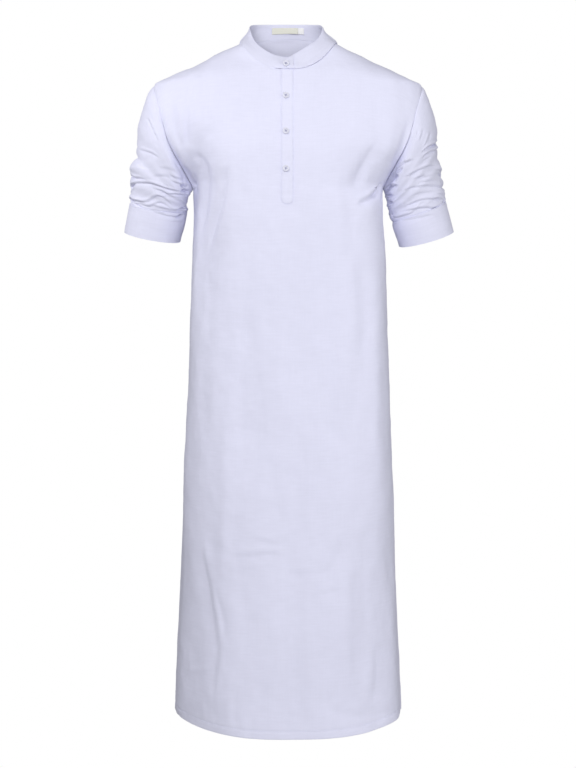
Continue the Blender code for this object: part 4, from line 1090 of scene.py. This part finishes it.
def collar_column(face, across):
    """The neck seam, the panel's direction there and the collar's top edge, at one column."""
    foot = panel_base(face, [0.0], [across])[0, 0]
    share = abs(foot[0]) / half_width(NECK_SIDE_Z)
    open_part = max(1 - share ** BODY_ROUNDNESS, 0) ** (1 / BODY_ROUNDNESS)
    if face == FRONT:
        climb = ((1 - COLLAR_CORNER_SHARE) * share ** COLLAR_DIP[LEFT if across > 0 else RIGHT]
                 + COLLAR_CORNER_SHARE * share ** COLLAR_CORNER)
    else:
        climb = (1 - COLLAR_BACK_SHARE * (1 - share ** COLLAR_BACK_SWEEP)
                 - (1 - COLLAR_BACK_SHARE) * open_part)
    top_z = COLLAR_TOP_Z[face] + (COLLAR_SIDE_Z - COLLAR_TOP_Z[face]) * climb
    top = np.array([np.sign(across) * COLLAR_TOP_HALF_WIDTH * share + COLLAR_TOP_SHIFT,
                    COLLAR_TOP_Y[face] * open_part, top_z])
    return foot, panel_rise(face, across), top


def collar_form():
    """The band's smooth surface, foot to top, and which of its columns are in the right half."""
    path = neck_path()
    foot, rise, top = np.array([collar_column(face, u) for face, u in path]).transpose(1, 0, 2)
    foot, top = settled(foot), settled(top)
    count = len(path)
    number = np.arange(count)
    right_half = number > count // 2
    plumb = rising(count - 1 - number, LAP_PLUMB_COLUMNS, 0) * right_half
    top[:, 0] += plumb * (foot[:, 0] - top[:, 0])

    own = unit(top - foot)
    tall = np.linalg.norm(top - foot, axis=-1)[:, None]
    follow = ease((rise[:, 2] - own[:, 2]) / COLLAR_FOLLOW)[:, None]
    start = unit(own * (1 - follow) + rise * follow)
    aside = np.abs(foot[:, :1]) / half_width(NECK_SIDE_Z)
    upright = COLLAR_UPRIGHT * aside ** COLLAR_UPRIGHT_SWEEP
    end = unit(own * (1 - upright) + np.array([0, 0, 1]) * upright)
    first, last = foot + start * tall * COLLAR_SWELL[0], top - end * tall * COLLAR_SWELL[1]
    t = np.linspace(0, 1, COLLAR_ROWS)[:, None, None]
    grid = (foot * (1 - t) ** 3 + 3 * first * t * (1 - t) ** 2 + 3 * last * t * t * (1 - t)
            + top * t ** 3)
    return grid, tall[:, 0], t[..., 0], right_half


def collar_surface():
    """Outer surface of the collar band; its first column is the end that lies underneath."""
    grid, tall, up, right_half = collar_form()
    foot_x, in_front = grid[0, :, 0], grid[0, :, 1] < 0
    lift = LAP_LIFT * right_half * in_front * rising(foot_x, *LAP_LIFT_X)
    proud = COLLAR_PROUD * in_front * rising(foot_x, *COLLAR_PROUD_X)
    height = COLLAR_SEAT + lift + COLLAR_BELLY * np.sin(pi * up) + proud * rising(up, *COLLAR_PROUD_UP)
    for kind in COLLAR_RUMPLES:
        height = height + rumpled(grid, kind)
    for away in (up * tall - COLLAR_STITCHES_UP, (1 - up) * tall - COLLAR_STITCHES_DOWN):
        height -= groove(COLLAR_GROOVE, away)
    return grid + normals(grid, -1) * height[..., None]


# ------------------------------------------------------------------ what lies on the panels
def on_front(x, z, lift):
    """Points of the front's smooth surface near the centre line, moved out by lift."""
    step = 0.001
    x, z = np.broadcast_arrays(np.asarray(x, float), z)
    here, below = on_body(FRONT, x, z), on_body(FRONT, x, z - step)
    beside = on_body(FRONT, x + step, z)
    out = unit(np.cross(here - below, beside - here))
    out = out * -np.sign(out[..., 1:2])
    return here + out * np.asarray(lift)[..., None]


def strip_grid(top_z, foot_z, right_x, left_x, radius, columns):
    """x and z over a strip with a rounded foot."""
    straight = np.arange(top_z, foot_z + radius, -STRIP_ROW)
    turns = np.radians(np.linspace(0, 90, STRIP_FOOT_ROWS))
    z = np.concatenate([straight, foot_z + radius * (1 - np.sin(turns))])
    narrowing = np.concatenate([0 * straight, radius * (1 - np.cos(turns))])
    turns = np.linspace(-STRIP_CROWD, STRIP_CROWD, columns)
    spread = 0.5 + 0.5 * np.sin(turns) / np.sin(STRIP_CROWD)
    left, right = left_x - narrowing, right_x + narrowing
    x = right[:, None] + (left - right)[:, None] * spread
    return x, np.repeat(z[:, None], columns, 1)


def placket_over_surface():
    x, z = strip_grid(PLACKET_TOP_Z, PLACKET_FOOT_Z, PLACKET_RIGHT_X, PLACKET_LEFT_X,
                      PLACKET_FOOT_RADIUS, OVER_STRIP_COLUMNS)
    to_side = np.minimum(x - x[:, :1], x[:, -1:] - x)
    into_foot = np.hypot(np.maximum(PLACKET_FOOT_RADIUS - to_side, 0),
                         np.maximum(PLACKET_FOOT_Z + PLACKET_FOOT_RADIUS - z, 0))
    from_edge = np.minimum(to_side, PLACKET_FOOT_RADIUS - into_foot)
    lift = STRIP_SEAT + STRIP_WALL + STRIP_SWELL * ease(from_edge / STRIP_SWELL_REACH)
    lift -= groove(PLACKET_GROOVE, from_edge - PLACKET_STITCHES)
    flat = np.stack([x, 0 * x, z], -1)
    for kind in PLACKET_RUMPLES:
        lift += rumpled(flat, kind)
    lift -= STRIP_DIP * rising(z, PLACKET_TOP_Z - STRIP_DIP_REACH, PLACKET_TOP_Z)
    return on_front(x, z, lift)


def placket_under_surface():
    reach = (PLACKET_LEFT_X - PLACKET_RIGHT_X) / 2
    x, z = strip_grid(UNDER_STRIP_TOP_Z, UNDER_STRIP_FOOT_Z, -reach, reach, UNDER_STRIP_CORNER,
                      UNDER_STRIP_COLUMNS)
    return on_front(x, z, np.full(x.shape, -CLOTH - UNDER_STRIP_GAP))


def label_surface(collar, x_range, curl):
    """A label inside the back of the collar; curl lifts its lower edge at the left end."""
    behind = collar[0, :, 1] > BACK_OF_COLLAR_Y
    inside = (collar + normals(collar, 1) * (COLLAR_WALL + LABEL_GAP))[:, behind]
    along = np.linspace(0, 1, LABEL_COLUMNS)
    forward = np.array([0.0, -1.0, 0.0])
    low, high = LABEL_HEIGHT
    rows = []
    for height in np.linspace(low, high, LABEL_ROWS):
        row = at_x(row_at(inside, height), np.linspace(*x_range, LABEL_COLUMNS))
        down = (high - height) / (high - low)
        curled = curl * down ** 3 * ease(1.3 * along - 0.2)     # most at the left end
        waves = LABEL_WAVE * np.sin(2 * pi * LABEL_WAVES * along + 2 * height) * down
        rows.append(row + forward * (curled + waves + LABEL_LIFT)[:, None])
    return np.array(rows)


# ------------------------------------------------------------------ buttons
def button_mesh(finish):
    """A four-holed button about the origin, facing +Z."""
    turned = bmesh.new()
    rings = [[turned.verts.new((radius * np.cos(a), radius * np.sin(a), z))
              for a in np.linspace(0, 2 * pi, BUTTON_SEGMENTS, endpoint=False)]
             for radius, z in BUTTON_OUTLINE]
    for upper, lower in zip(rings[:-1], rings[1:]):
        for k in range(BUTTON_SEGMENTS):
            m = (k + 1) % BUTTON_SEGMENTS
            turned.faces.new((upper[k], lower[k], lower[m], upper[m]))
    turned.faces.new(rings[0])
    turned.faces.new(rings[-1][::-1])
    disc = placed("button blank", mesh_of("button", turned))
    drills = bmesh.new()
    for x, y in ((1, 1), (1, -1), (-1, -1), (-1, 1)):
        bmesh.ops.create_cone(drills, cap_ends=True, segments=16, radius1=HOLE_RADIUS,
                              radius2=HOLE_RADIUS, depth=DRILL_DEPTH,
                              matrix=Matrix.Translation((x * HOLE_PLACE, y * HOLE_PLACE, 0)))
    drill = placed("drills", mesh_of("drills", drills))
    cut = disc.modifiers.new("holes", "BOOLEAN")
    cut.operation, cut.object, cut.solver = "DIFFERENCE", drill, "EXACT"
    made = applied(disc)
    bpy.data.objects.remove(drill)
    made.materials.clear()
    made.materials.append(finish)
    return made


def button_seats(collar):
    """Where each button is sewn on, the way it faces and its gap to the cloth."""
    lap, button_column = 20, 12     # columns, counted from the band's right end
    over_end = row_at(collar, COLLAR_BUTTON_HEIGHT)[-lap:]
    low = int(COLLAR_BUTTON_HEIGHT * (len(collar) - 1))
    facing = normals(collar, -1)[low, -button_column] + np.array([0, -COLLAR_BUTTON_UPRIGHT, 0])
    seats = [(at_x(over_end, BUTTON_X), facing, COLLAR_BUTTON_SEAT)]
    strip_face = STRIP_SEAT + STRIP_WALL + PLACKET_BUTTON_GAP
    further_out = 0.02
    for z in PLACKET_BUTTON_Z:
        foot, tip = on_front(BUTTON_X, np.array([z, z]), np.array([strip_face, further_out]))
        seats.append((foot, tip - foot, BUTTON_SEAT))
    return seats


def thread_cross(place, seat):
    """Two crossed pairs of threads in the dish of a button, and the shank under it."""
    bars = bmesh.new()
    for angle in (pi / 4, -pi / 4):
        for shift in (-THREAD_SPREAD, THREAD_SPREAD):
            bmesh.ops.create_uvsphere(bars, u_segments=8, v_segments=10, radius=1, matrix=(
                place @ Matrix.Rotation(angle, 4, "Z")
                @ Matrix.Translation((0, shift, BUTTON_THICKNESS / 2 - THREAD_SINK))
                @ Matrix.Diagonal((*THREAD_BAR, 1))))
    middle = Matrix.Translation((0, 0, -BUTTON_THICKNESS / 2 - seat / 2))
    bmesh.ops.create_cone(bars, cap_ends=True, segments=12, radius1=SHANK_RADII[0],
                          radius2=SHANK_RADII[1], depth=seat + SHANK_EXTRA, matrix=place @ middle)
    return mesh_of("thread cross", bars)


def make_buttons(collar, shell, thread):
    """The buttons and, over their holes, a cross of thread on each."""
    blank = button_mesh(shell)
    made = []
    for number, (foot, facing, seat) in enumerate(button_seats(collar), start=1):
        facing = Vector(facing).normalized()
        turn = facing.to_track_quat("Z", "Y").to_matrix().to_4x4()
        place = (Matrix.Translation(Vector(foot) + facing * (BUTTON_THICKNESS / 2 + seat)) @ turn
                 @ Matrix.Rotation(BUTTON_TURNS[number - 1], 4, "Z"))
        mesh = blank.copy()
        mesh.transform(place)
        button = placed(f"button_{number}_shell", mesh)
        mesh.shade_smooth()
        mesh.set_sharp_from_angle(angle=0.7)
        cross_mesh = thread_cross(place, seat)
        # the thread given for the buttons is real, but its dark colour is painted shade of the button's
        # dish and holes
        cross_mesh.materials.append(thread)
        cross_mesh.shade_smooth()
        made.append((button, placed(f"button_thread_{number}", cross_mesh)))
    return made


# ------------------------------------------------------------------ stitches
def stitch_tree(thread):
    """Even stitches along the edges of a mesh."""
    tree = bpy.data.node_groups.new("stitches", "GeometryNodeTree")
    tree.interface.new_socket("Seam", in_out="INPUT", socket_type="NodeSocketGeometry")
    for name in STITCH:
        tree.interface.new_socket(name, in_out="INPUT", socket_type="NodeSocketFloat")
    tree.interface.new_socket("Stitches", in_out="OUTPUT", socket_type="NodeSocketGeometry")
    add, link = tree.nodes.new, tree.links.new
    given, made = add("NodeGroupInput"), add("NodeGroupOutput")
    to_curve, to_points = add("GeometryNodeMeshToCurve"), add("GeometryNodeCurveToPoints")
    to_points.mode = "LENGTH"
    link(given.outputs["Seam"], to_curve.inputs["Mesh"])
    link(to_curve.outputs["Curve"], to_points.inputs["Curve"])
    link(given.outputs["Pitch"], to_points.inputs["Length"])
    aim = add("FunctionNodeAlignRotationToVector")
    aim.axis = "Z"
    link(to_points.outputs["Tangent"], aim.inputs["Vector"])
    ball = add("GeometryNodeMeshUVSphere")
    ball.inputs["Segments"].default_value, ball.inputs["Rings"].default_value = 6, 4
    ball.inputs["Radius"].default_value = 0.5
    size = add("ShaderNodeCombineXYZ")
    link(given.outputs["Thread"], size.inputs["X"])
    link(given.outputs["Thread"], size.inputs["Y"])
    link(given.outputs["Stitch Length"], size.inputs["Z"])
    place = add("GeometryNodeInstanceOnPoints")
    link(to_points.outputs["Points"], place.inputs["Points"])
    link(ball.outputs["Mesh"], place.inputs["Instance"])
    link(aim.outputs["Rotation"], place.inputs["Rotation"])
    link(size.outputs["Vector"], place.inputs["Scale"])
    real, finish = add("GeometryNodeRealizeInstances"), add("GeometryNodeSetMaterial")
    finish.inputs["Material"].default_value = thread
    link(place.outputs["Instances"], real.inputs["Geometry"])
    link(real.outputs["Geometry"], finish.inputs["Geometry"])
    link(finish.outputs["Geometry"], made.inputs["Stitches"])
    return tree


def sewn(name, seams, tree, closed=False):
    """Stitches along lines of points, as one plain mesh."""
    points, edges = [], []
    for seam in seams:
        start = len(points)
        points += [tuple(p) for p in seam]
        edges += [(start + k, start + k + 1) for k in range(len(seam) - 1)]
        if closed:
            edges.append((start + len(seam) - 1, start))
    line = bpy.data.meshes.new(name)
    line.from_pydata(points, edges, [])
    guide = placed(f"{name} guide", line)
    sewing = guide.modifiers.new("sewing", "NODES")
    sewing.node_group = tree
    for item in tree.interface.items_tree:
        if item.name in STITCH:
            sewing[item.identifier] = STITCH[item.name]
    mesh = applied(guide)
    mesh.shade_smooth()
    return placed(name, mesh)


def line_at(grid, away, from_start=True, outward=1, wrap=False):
    """A line across a grid's columns, away from their first or last row, just proud of it."""
    proud = 0.0001
    out = normals(grid, outward, wrap)
    reach = walked(grid, 0)
    target = np.broadcast_to(away if from_start else reach[-1] - away, reach.shape[1])
    points = []
    for j in range(grid.shape[1]):
        row = np.interp(target[j], reach[:, j], np.arange(len(grid)))
        low = min(int(row), len(grid) - 2)
        part = row - low
        points.append(grid[low, j] * (1 - part) + grid[low + 1, j] * part + out[low, j] * proud)
    return np.array(points)


# ------------------------------------------------------------------ finishes
COTTON, LABEL_SATIN, TAB_SATIN = (0.765, 0.770, 0.935), (0.80, 0.80, 0.72), (0.93, 0.93, 0.95)
BUTTON_SHELL = (0.74, 0.745, 0.86)
# The buttons' thread is a real thread, but its dark blue-grey is painted shade of each button's dished
# centre and holes.
SEWING_THREAD, BUTTON_THREAD_PAINTED_SHADE = (0.74, 0.745, 0.91), (0.30, 0.31, 0.50)
PALE_FLOOR = (0.82, 0.82, 0.82)
YARN_PITCH = 0.00055


def finish_base(name, colour, roughness, specular, sheen=0.0):
    """A plain finish: the material, its node tree and its shader."""
    made = bpy.data.materials.new(name)
    made.use_nodes = True
    shader = made.node_tree.nodes["Principled BSDF"]
    shader.inputs["Base Color"].default_value = (*colour, 1.0)
    shader.inputs["Roughness"].default_value = roughness
    shader.inputs["Specular IOR Level"].default_value = specular
    if sheen:
        shader.inputs["Sheen Weight"].default_value = sheen
        shader.inputs["Sheen Roughness"].default_value = 0.5
        shader.inputs["Sheen Tint"].default_value = (0.92, 0.92, 1.0, 1.0)
    return made, made.node_tree, shader


def maths(tree, operation, first, second=None, third=None):
    node = tree.nodes.new("ShaderNodeMath")
    node.operation = operation
    for socket, value in zip(node.inputs, (first, second, third)):
        if isinstance(value, (int, float)):
            socket.default_value = value
        elif value is not None:
            tree.links.new(value, socket)
    return node.outputs[0]


def on_flat_cloth(tree):
    """Places on the flat cloth, in metres."""
    weave = tree.nodes.new("ShaderNodeUVMap")
    weave.uv_map = "weave"
    return weave.outputs["UV"]


def in_space(tree):
    return tree.nodes.new("ShaderNodeTexCoord").outputs["Object"]


def stretched_noise(tree, source, scale, detail):
    """Noise whose grain is 1 / scale metres long in each direction."""
    stretch = tree.nodes.new("ShaderNodeMapping")
    stretch.inputs["Scale"].default_value = scale
    tree.links.new(source, stretch.inputs["Vector"])
    grain = tree.nodes.new("ShaderNodeTexNoise")
    grain.inputs["Scale"].default_value = 1.0
    grain.inputs["Detail"].default_value = detail
    tree.links.new(stretch.outputs["Vector"], grain.inputs["Vector"])
    return grain.outputs["Factor" if "Factor" in grain.outputs else "Fac"]


def map_range(tree, value, **limits):
    """A value moved from one range to another; from_min and so on name the limits."""
    node = tree.nodes.new("ShaderNodeMapRange")
    for limit, size in limits.items():
        node.inputs[limit.replace("_", " ").title()].default_value = size
    tree.links.new(value, node.inputs["Value"])
    return node.outputs["Result"]


def two_tones(tree, shader, share, colour, dark, light):
    """Base colour between dark and light, which are factors on the finish's own colour."""
    mix = tree.nodes.new("ShaderNodeMix")
    mix.data_type = "RGBA"
    for socket in mix.inputs:
        if socket.type == "RGBA":
            socket.default_value = (*[c * (dark if socket.name == "A" else light) for c in colour], 1)
    tree.links.new(share, mix.inputs[0])
    tree.links.new([s for s in mix.outputs if s.type == "RGBA"][0], shader.inputs["Base Color"])


def relief(tree, height, strength, distance, under=None):
    """A bumped normal, on top of another where under gives one."""
    bump = tree.nodes.new("ShaderNodeBump")
    bump.inputs["Strength"].default_value, bump.inputs["Distance"].default_value = strength, distance
    tree.links.new(height, bump.inputs["Height"])
    if under:
        tree.links.new(under, bump.inputs["Normal"])
    return bump.outputs["Normal"]


def slubby_cotton(name, colour):
    """Plain-woven cotton with thick and thin yarns."""
    made, tree, shader = finish_base(name, colour, roughness=0.86, specular=0.25, sheen=0.06)
    flat = on_flat_cloth(tree)
    weft, weft_share = stretched_noise(tree, flat, (38, 300, 1), detail=3), 0.44
    warp, warp_share = stretched_noise(tree, flat, (360, 20, 1), detail=3), 0.24
    patches, patch_share = stretched_noise(tree, in_space(tree), (16, 16, 11), detail=3), 0.40
    tone = maths(tree, "MULTIPLY_ADD", weft, weft_share, maths(tree, "MULTIPLY", warp, warp_share))
    tone = maths(tree, "MULTIPLY_ADD", patches, patch_share, tone)
    share = map_range(tree, tone, from_min=0.38, from_max=0.70)
    two_tones(tree, shader, share, colour, dark=0.970, light=1.018)

    split = tree.nodes.new("ShaderNodeSeparateXYZ")
    tree.links.new(flat, split.inputs[0])
    across, down = (maths(tree, "SINE", maths(tree, "MULTIPLY", split.outputs[axis], pi / YARN_PITCH))
                    for axis in "XY")
    over_and_under = maths(tree, "MULTIPLY", across, down)
    plain_weave = relief(tree, over_and_under, strength=0.35, distance=0.00006)
    slubs = relief(tree, tone, strength=0.35, distance=0.00020, under=plain_weave)
    tree.links.new(slubs, shader.inputs["Normal"])
    return made


def label_weave(name, colour):
    """Close satin weave of a neck label."""
    made, tree, shader = finish_base(name, colour, roughness=0.45, specular=0.4)
    ribs = stretched_noise(tree, on_flat_cloth(tree), (300, 2600, 1), detail=1)
    ribbed = relief(tree, ribs, strength=0.4, distance=0.00008)
    tree.links.new(ribbed, shader.inputs["Normal"])
    two_tones(tree, shader, ribs, colour, dark=0.95, light=1.03)
    return made


def pearly_shell(name, colour):
    """Dyed-to-match button plastic with a faint cloudy swirl."""
    made, tree, shader = finish_base(name, colour, roughness=0.28, specular=0.5)
    cloud = stretched_noise(tree, in_space(tree), (420, 420, 210), detail=3)
    two_tones(tree, shader, cloud, colour, dark=0.86, light=1.06)
    tree.links.new(map_range(tree, cloud, to_min=0.22, to_max=0.38), shader.inputs["Roughness"])
    return made


def sewing_thread(name, colour):
    """Twisted thread."""
    made, tree, shader = finish_base(name, colour, roughness=0.6, specular=0.4)
    twist = stretched_noise(tree, in_space(tree), (2600, 2600, 2600), detail=1)
    twisted = relief(tree, twist, strength=0.5, distance=0.00006)
    tree.links.new(twisted, shader.inputs["Normal"])
    return made


# ------------------------------------------------------------------ the studio
# Soft square lamps round the robe's middle: degrees to the left of the front, degrees up,
# metres away, the side of the square and its power.
Lamp = namedtuple("Lamp", "name turn climb away size watts")
LAMPS = (
    Lamp("key", -25, 29, 2.6, 1.0, 20.5),
    Lamp("front", 0, 8, 2.6, 1.2, 22.5),
    Lamp("front right", 50, 8, 2.6, 1.2, 15.5),
    Lamp("right", 80, 0, 2.6, 1.2, 7),
    Lamp("above", 10, 75, 2.2, 1.2, 4),
)
MIDDLE = Vector((0, 0, -0.5))
SLEEVE_LAMP_PLACE, SLEEVE_LAMP_AIM = (-0.92, -0.12, -0.02), (-0.27, 0, -0.20)
FILL = 0.20
FLOOR_RADIUS, FLOOR_Z = 0.8, -1.5
LENS, SENSOR = 82.4, 36.0


def soft_lamp(name, place, aim, size, watts):
    data = bpy.data.lights.new(name, "AREA")
    data.shape, data.size, data.size_y = "RECTANGLE", size, size
    data.energy = watts
    lamp = placed(name, data)
    lamp.location = place
    lamp.rotation_euler = (Vector(aim) - Vector(place)).to_track_quat("-Z", "Y").to_euler()


def make_surroundings():
    """White behind the robe, and a weaker white light on it from all round."""
    scene = bpy.context.scene
    scene.view_settings.view_transform = "Standard"
    scene.world = scene.world or bpy.data.worlds.new("studio")
    scene.world.use_nodes = True
    nodes, links = scene.world.node_tree.nodes, scene.world.node_tree.links
    nodes.clear()
    rays, mix = nodes.new("ShaderNodeLightPath"), nodes.new("ShaderNodeMixShader")
    out = nodes.new("ShaderNodeOutputWorld")
    for strength, socket in ((FILL, mix.inputs[1]), (1.0, mix.inputs[2])):
        white = nodes.new("ShaderNodeBackground")
        white.inputs["Color"].default_value = (1, 1, 1, 1)
        white.inputs["Strength"].default_value = strength
        links.new(white.outputs["Background"], socket)
    links.new(rays.outputs["Is Camera Ray"], mix.inputs["Fac"])
    links.new(mix.outputs["Shader"], out.inputs["Surface"])


def make_floor():
    ground = bmesh.new()
    bmesh.ops.create_circle(ground, cap_ends=True, segments=96, radius=FLOOR_RADIUS,
                            matrix=Matrix.Translation((0, 0, FLOOR_Z)))
    mesh = mesh_of("floor", ground)
    mesh.materials.append(finish_base("pale floor", PALE_FLOOR, roughness=0.9, specular=0.5)[0])
    placed("floor", mesh)


def make_camera():
    camera = placed("camera", bpy.data.cameras.new("camera"))
    camera.data.lens, camera.data.sensor_width = LENS, SENSOR
    camera.location = (0, -EYE_Y, EYE_Z)
    camera.rotation_euler = (pi / 2, 0, 0)
    bpy.context.scene.camera = camera


def make_studio():
    make_surroundings()
    for lamp in LAMPS:
        turn, climb = np.radians((lamp.turn, lamp.climb))
        way = Vector((np.sin(turn) * np.cos(climb), -np.cos(turn) * np.cos(climb), np.sin(climb)))
        soft_lamp(lamp.name, MIDDLE + way * lamp.away, MIDDLE, lamp.size, lamp.watts)
    soft_lamp("beside the right sleeve", SLEEVE_LAMP_PLACE, SLEEVE_LAMP_AIM, size=0.5, watts=2.2)
    make_floor()
    make_camera()


# ------------------------------------------------------------------ the robe
def on_the_robe(piece, node):
    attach(piece, "root")
    if node:
        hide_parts(node)


def placket_seam(strip):
    """Down one side of the strip, across its foot and up the other, inside its edge."""
    inset, start = 3, 2
    return np.concatenate([strip[start:, inset], strip[start:, -1 - inset][::-1]])


def make_robe():
    cotton = slubby_cotton("slubby cotton", COTTON)
    satin = label_weave("label satin", LABEL_SATIN)
    white = label_weave("size tab satin", TAB_SATIN)
    shell = pearly_shell("button shell", BUTTON_SHELL)
    thread = sewing_thread("sewing thread", SEWING_THREAD)
    # real thread for the buttons, its dark colour painted shade of their dished centres and holes
    button_thread_painted_shade = sewing_thread("button thread", BUTTON_THREAD_PAINTED_SHADE)

    panels, sleeves = make_panels(cotton), make_sleeves(cotton)
    collar = collar_surface()
    collar_band = cloth_piece("collar_band_cloth", collar, cotton, COLLAR_WALL, -1, edge=COLLAR_EDGE)
    over = placket_over_surface()
    placket_over = cloth_piece("placket_over_cloth", over, cotton, STRIP_WALL)
    placket_under = cloth_piece("placket_under_cloth", placket_under_surface(), cotton, STRIP_WALL)
    label = cloth_piece("neck_label_cloth", label_surface(collar, LABEL_X, LABEL_CURL), satin, LABEL_WALL)
    tab = cloth_piece("size_tab_cloth", label_surface(collar, SIZE_TAB_X, SIZE_TAB_CURL), white, LABEL_WALL)

    tree = stitch_tree(thread)
    seams = {}
    for word, outward in (("front", 1), ("back", -1)):
        hem = line_at(panels[f"{word}_panel"][1], HEM_DEPTH, False, outward)
        seams[f"{word}_panel"] = sewn(f"hem_stitches_{word}", [hem], tree)
    collar_seams = [line_at(collar, COLLAR_STITCHES_UP, True, -1),
                    line_at(collar, COLLAR_STITCHES_DOWN, False, -1)]
    seams["collar_band"] = sewn("collar_stitches", collar_seams, tree)
    seams["placket_over"] = sewn("placket_stitches", [placket_seam(over)], tree)
    for side, word in ((RIGHT, "right"), (LEFT, "left")):
        rim = line_at(sleeves[f"cuff_{word}"][1], CUFF_STITCHES, True, -side, True)
        seams[f"cuff_{word}"] = sewn(f"cuff_stitches_{word}", [rim], tree, closed=True)
    buttons = make_buttons(collar, shell, button_thread_painted_shade)

    for name, (piece, _) in {**panels, **sleeves}.items():
        on_the_robe(piece, name)
    for piece in (collar_band, placket_over, placket_under):
        on_the_robe(piece, piece.name.removesuffix("_cloth"))
    for piece in (label, tab):
        on_the_robe(piece, piece.name.removesuffix("_cloth"))
    for stitches in seams.values():
        on_the_robe(stitches, None)
    for number, (button, cross) in enumerate(buttons, start=1):
        on_the_robe(button, f"button_{number}")
        on_the_robe(cross, None)


make_studio()
make_robe()
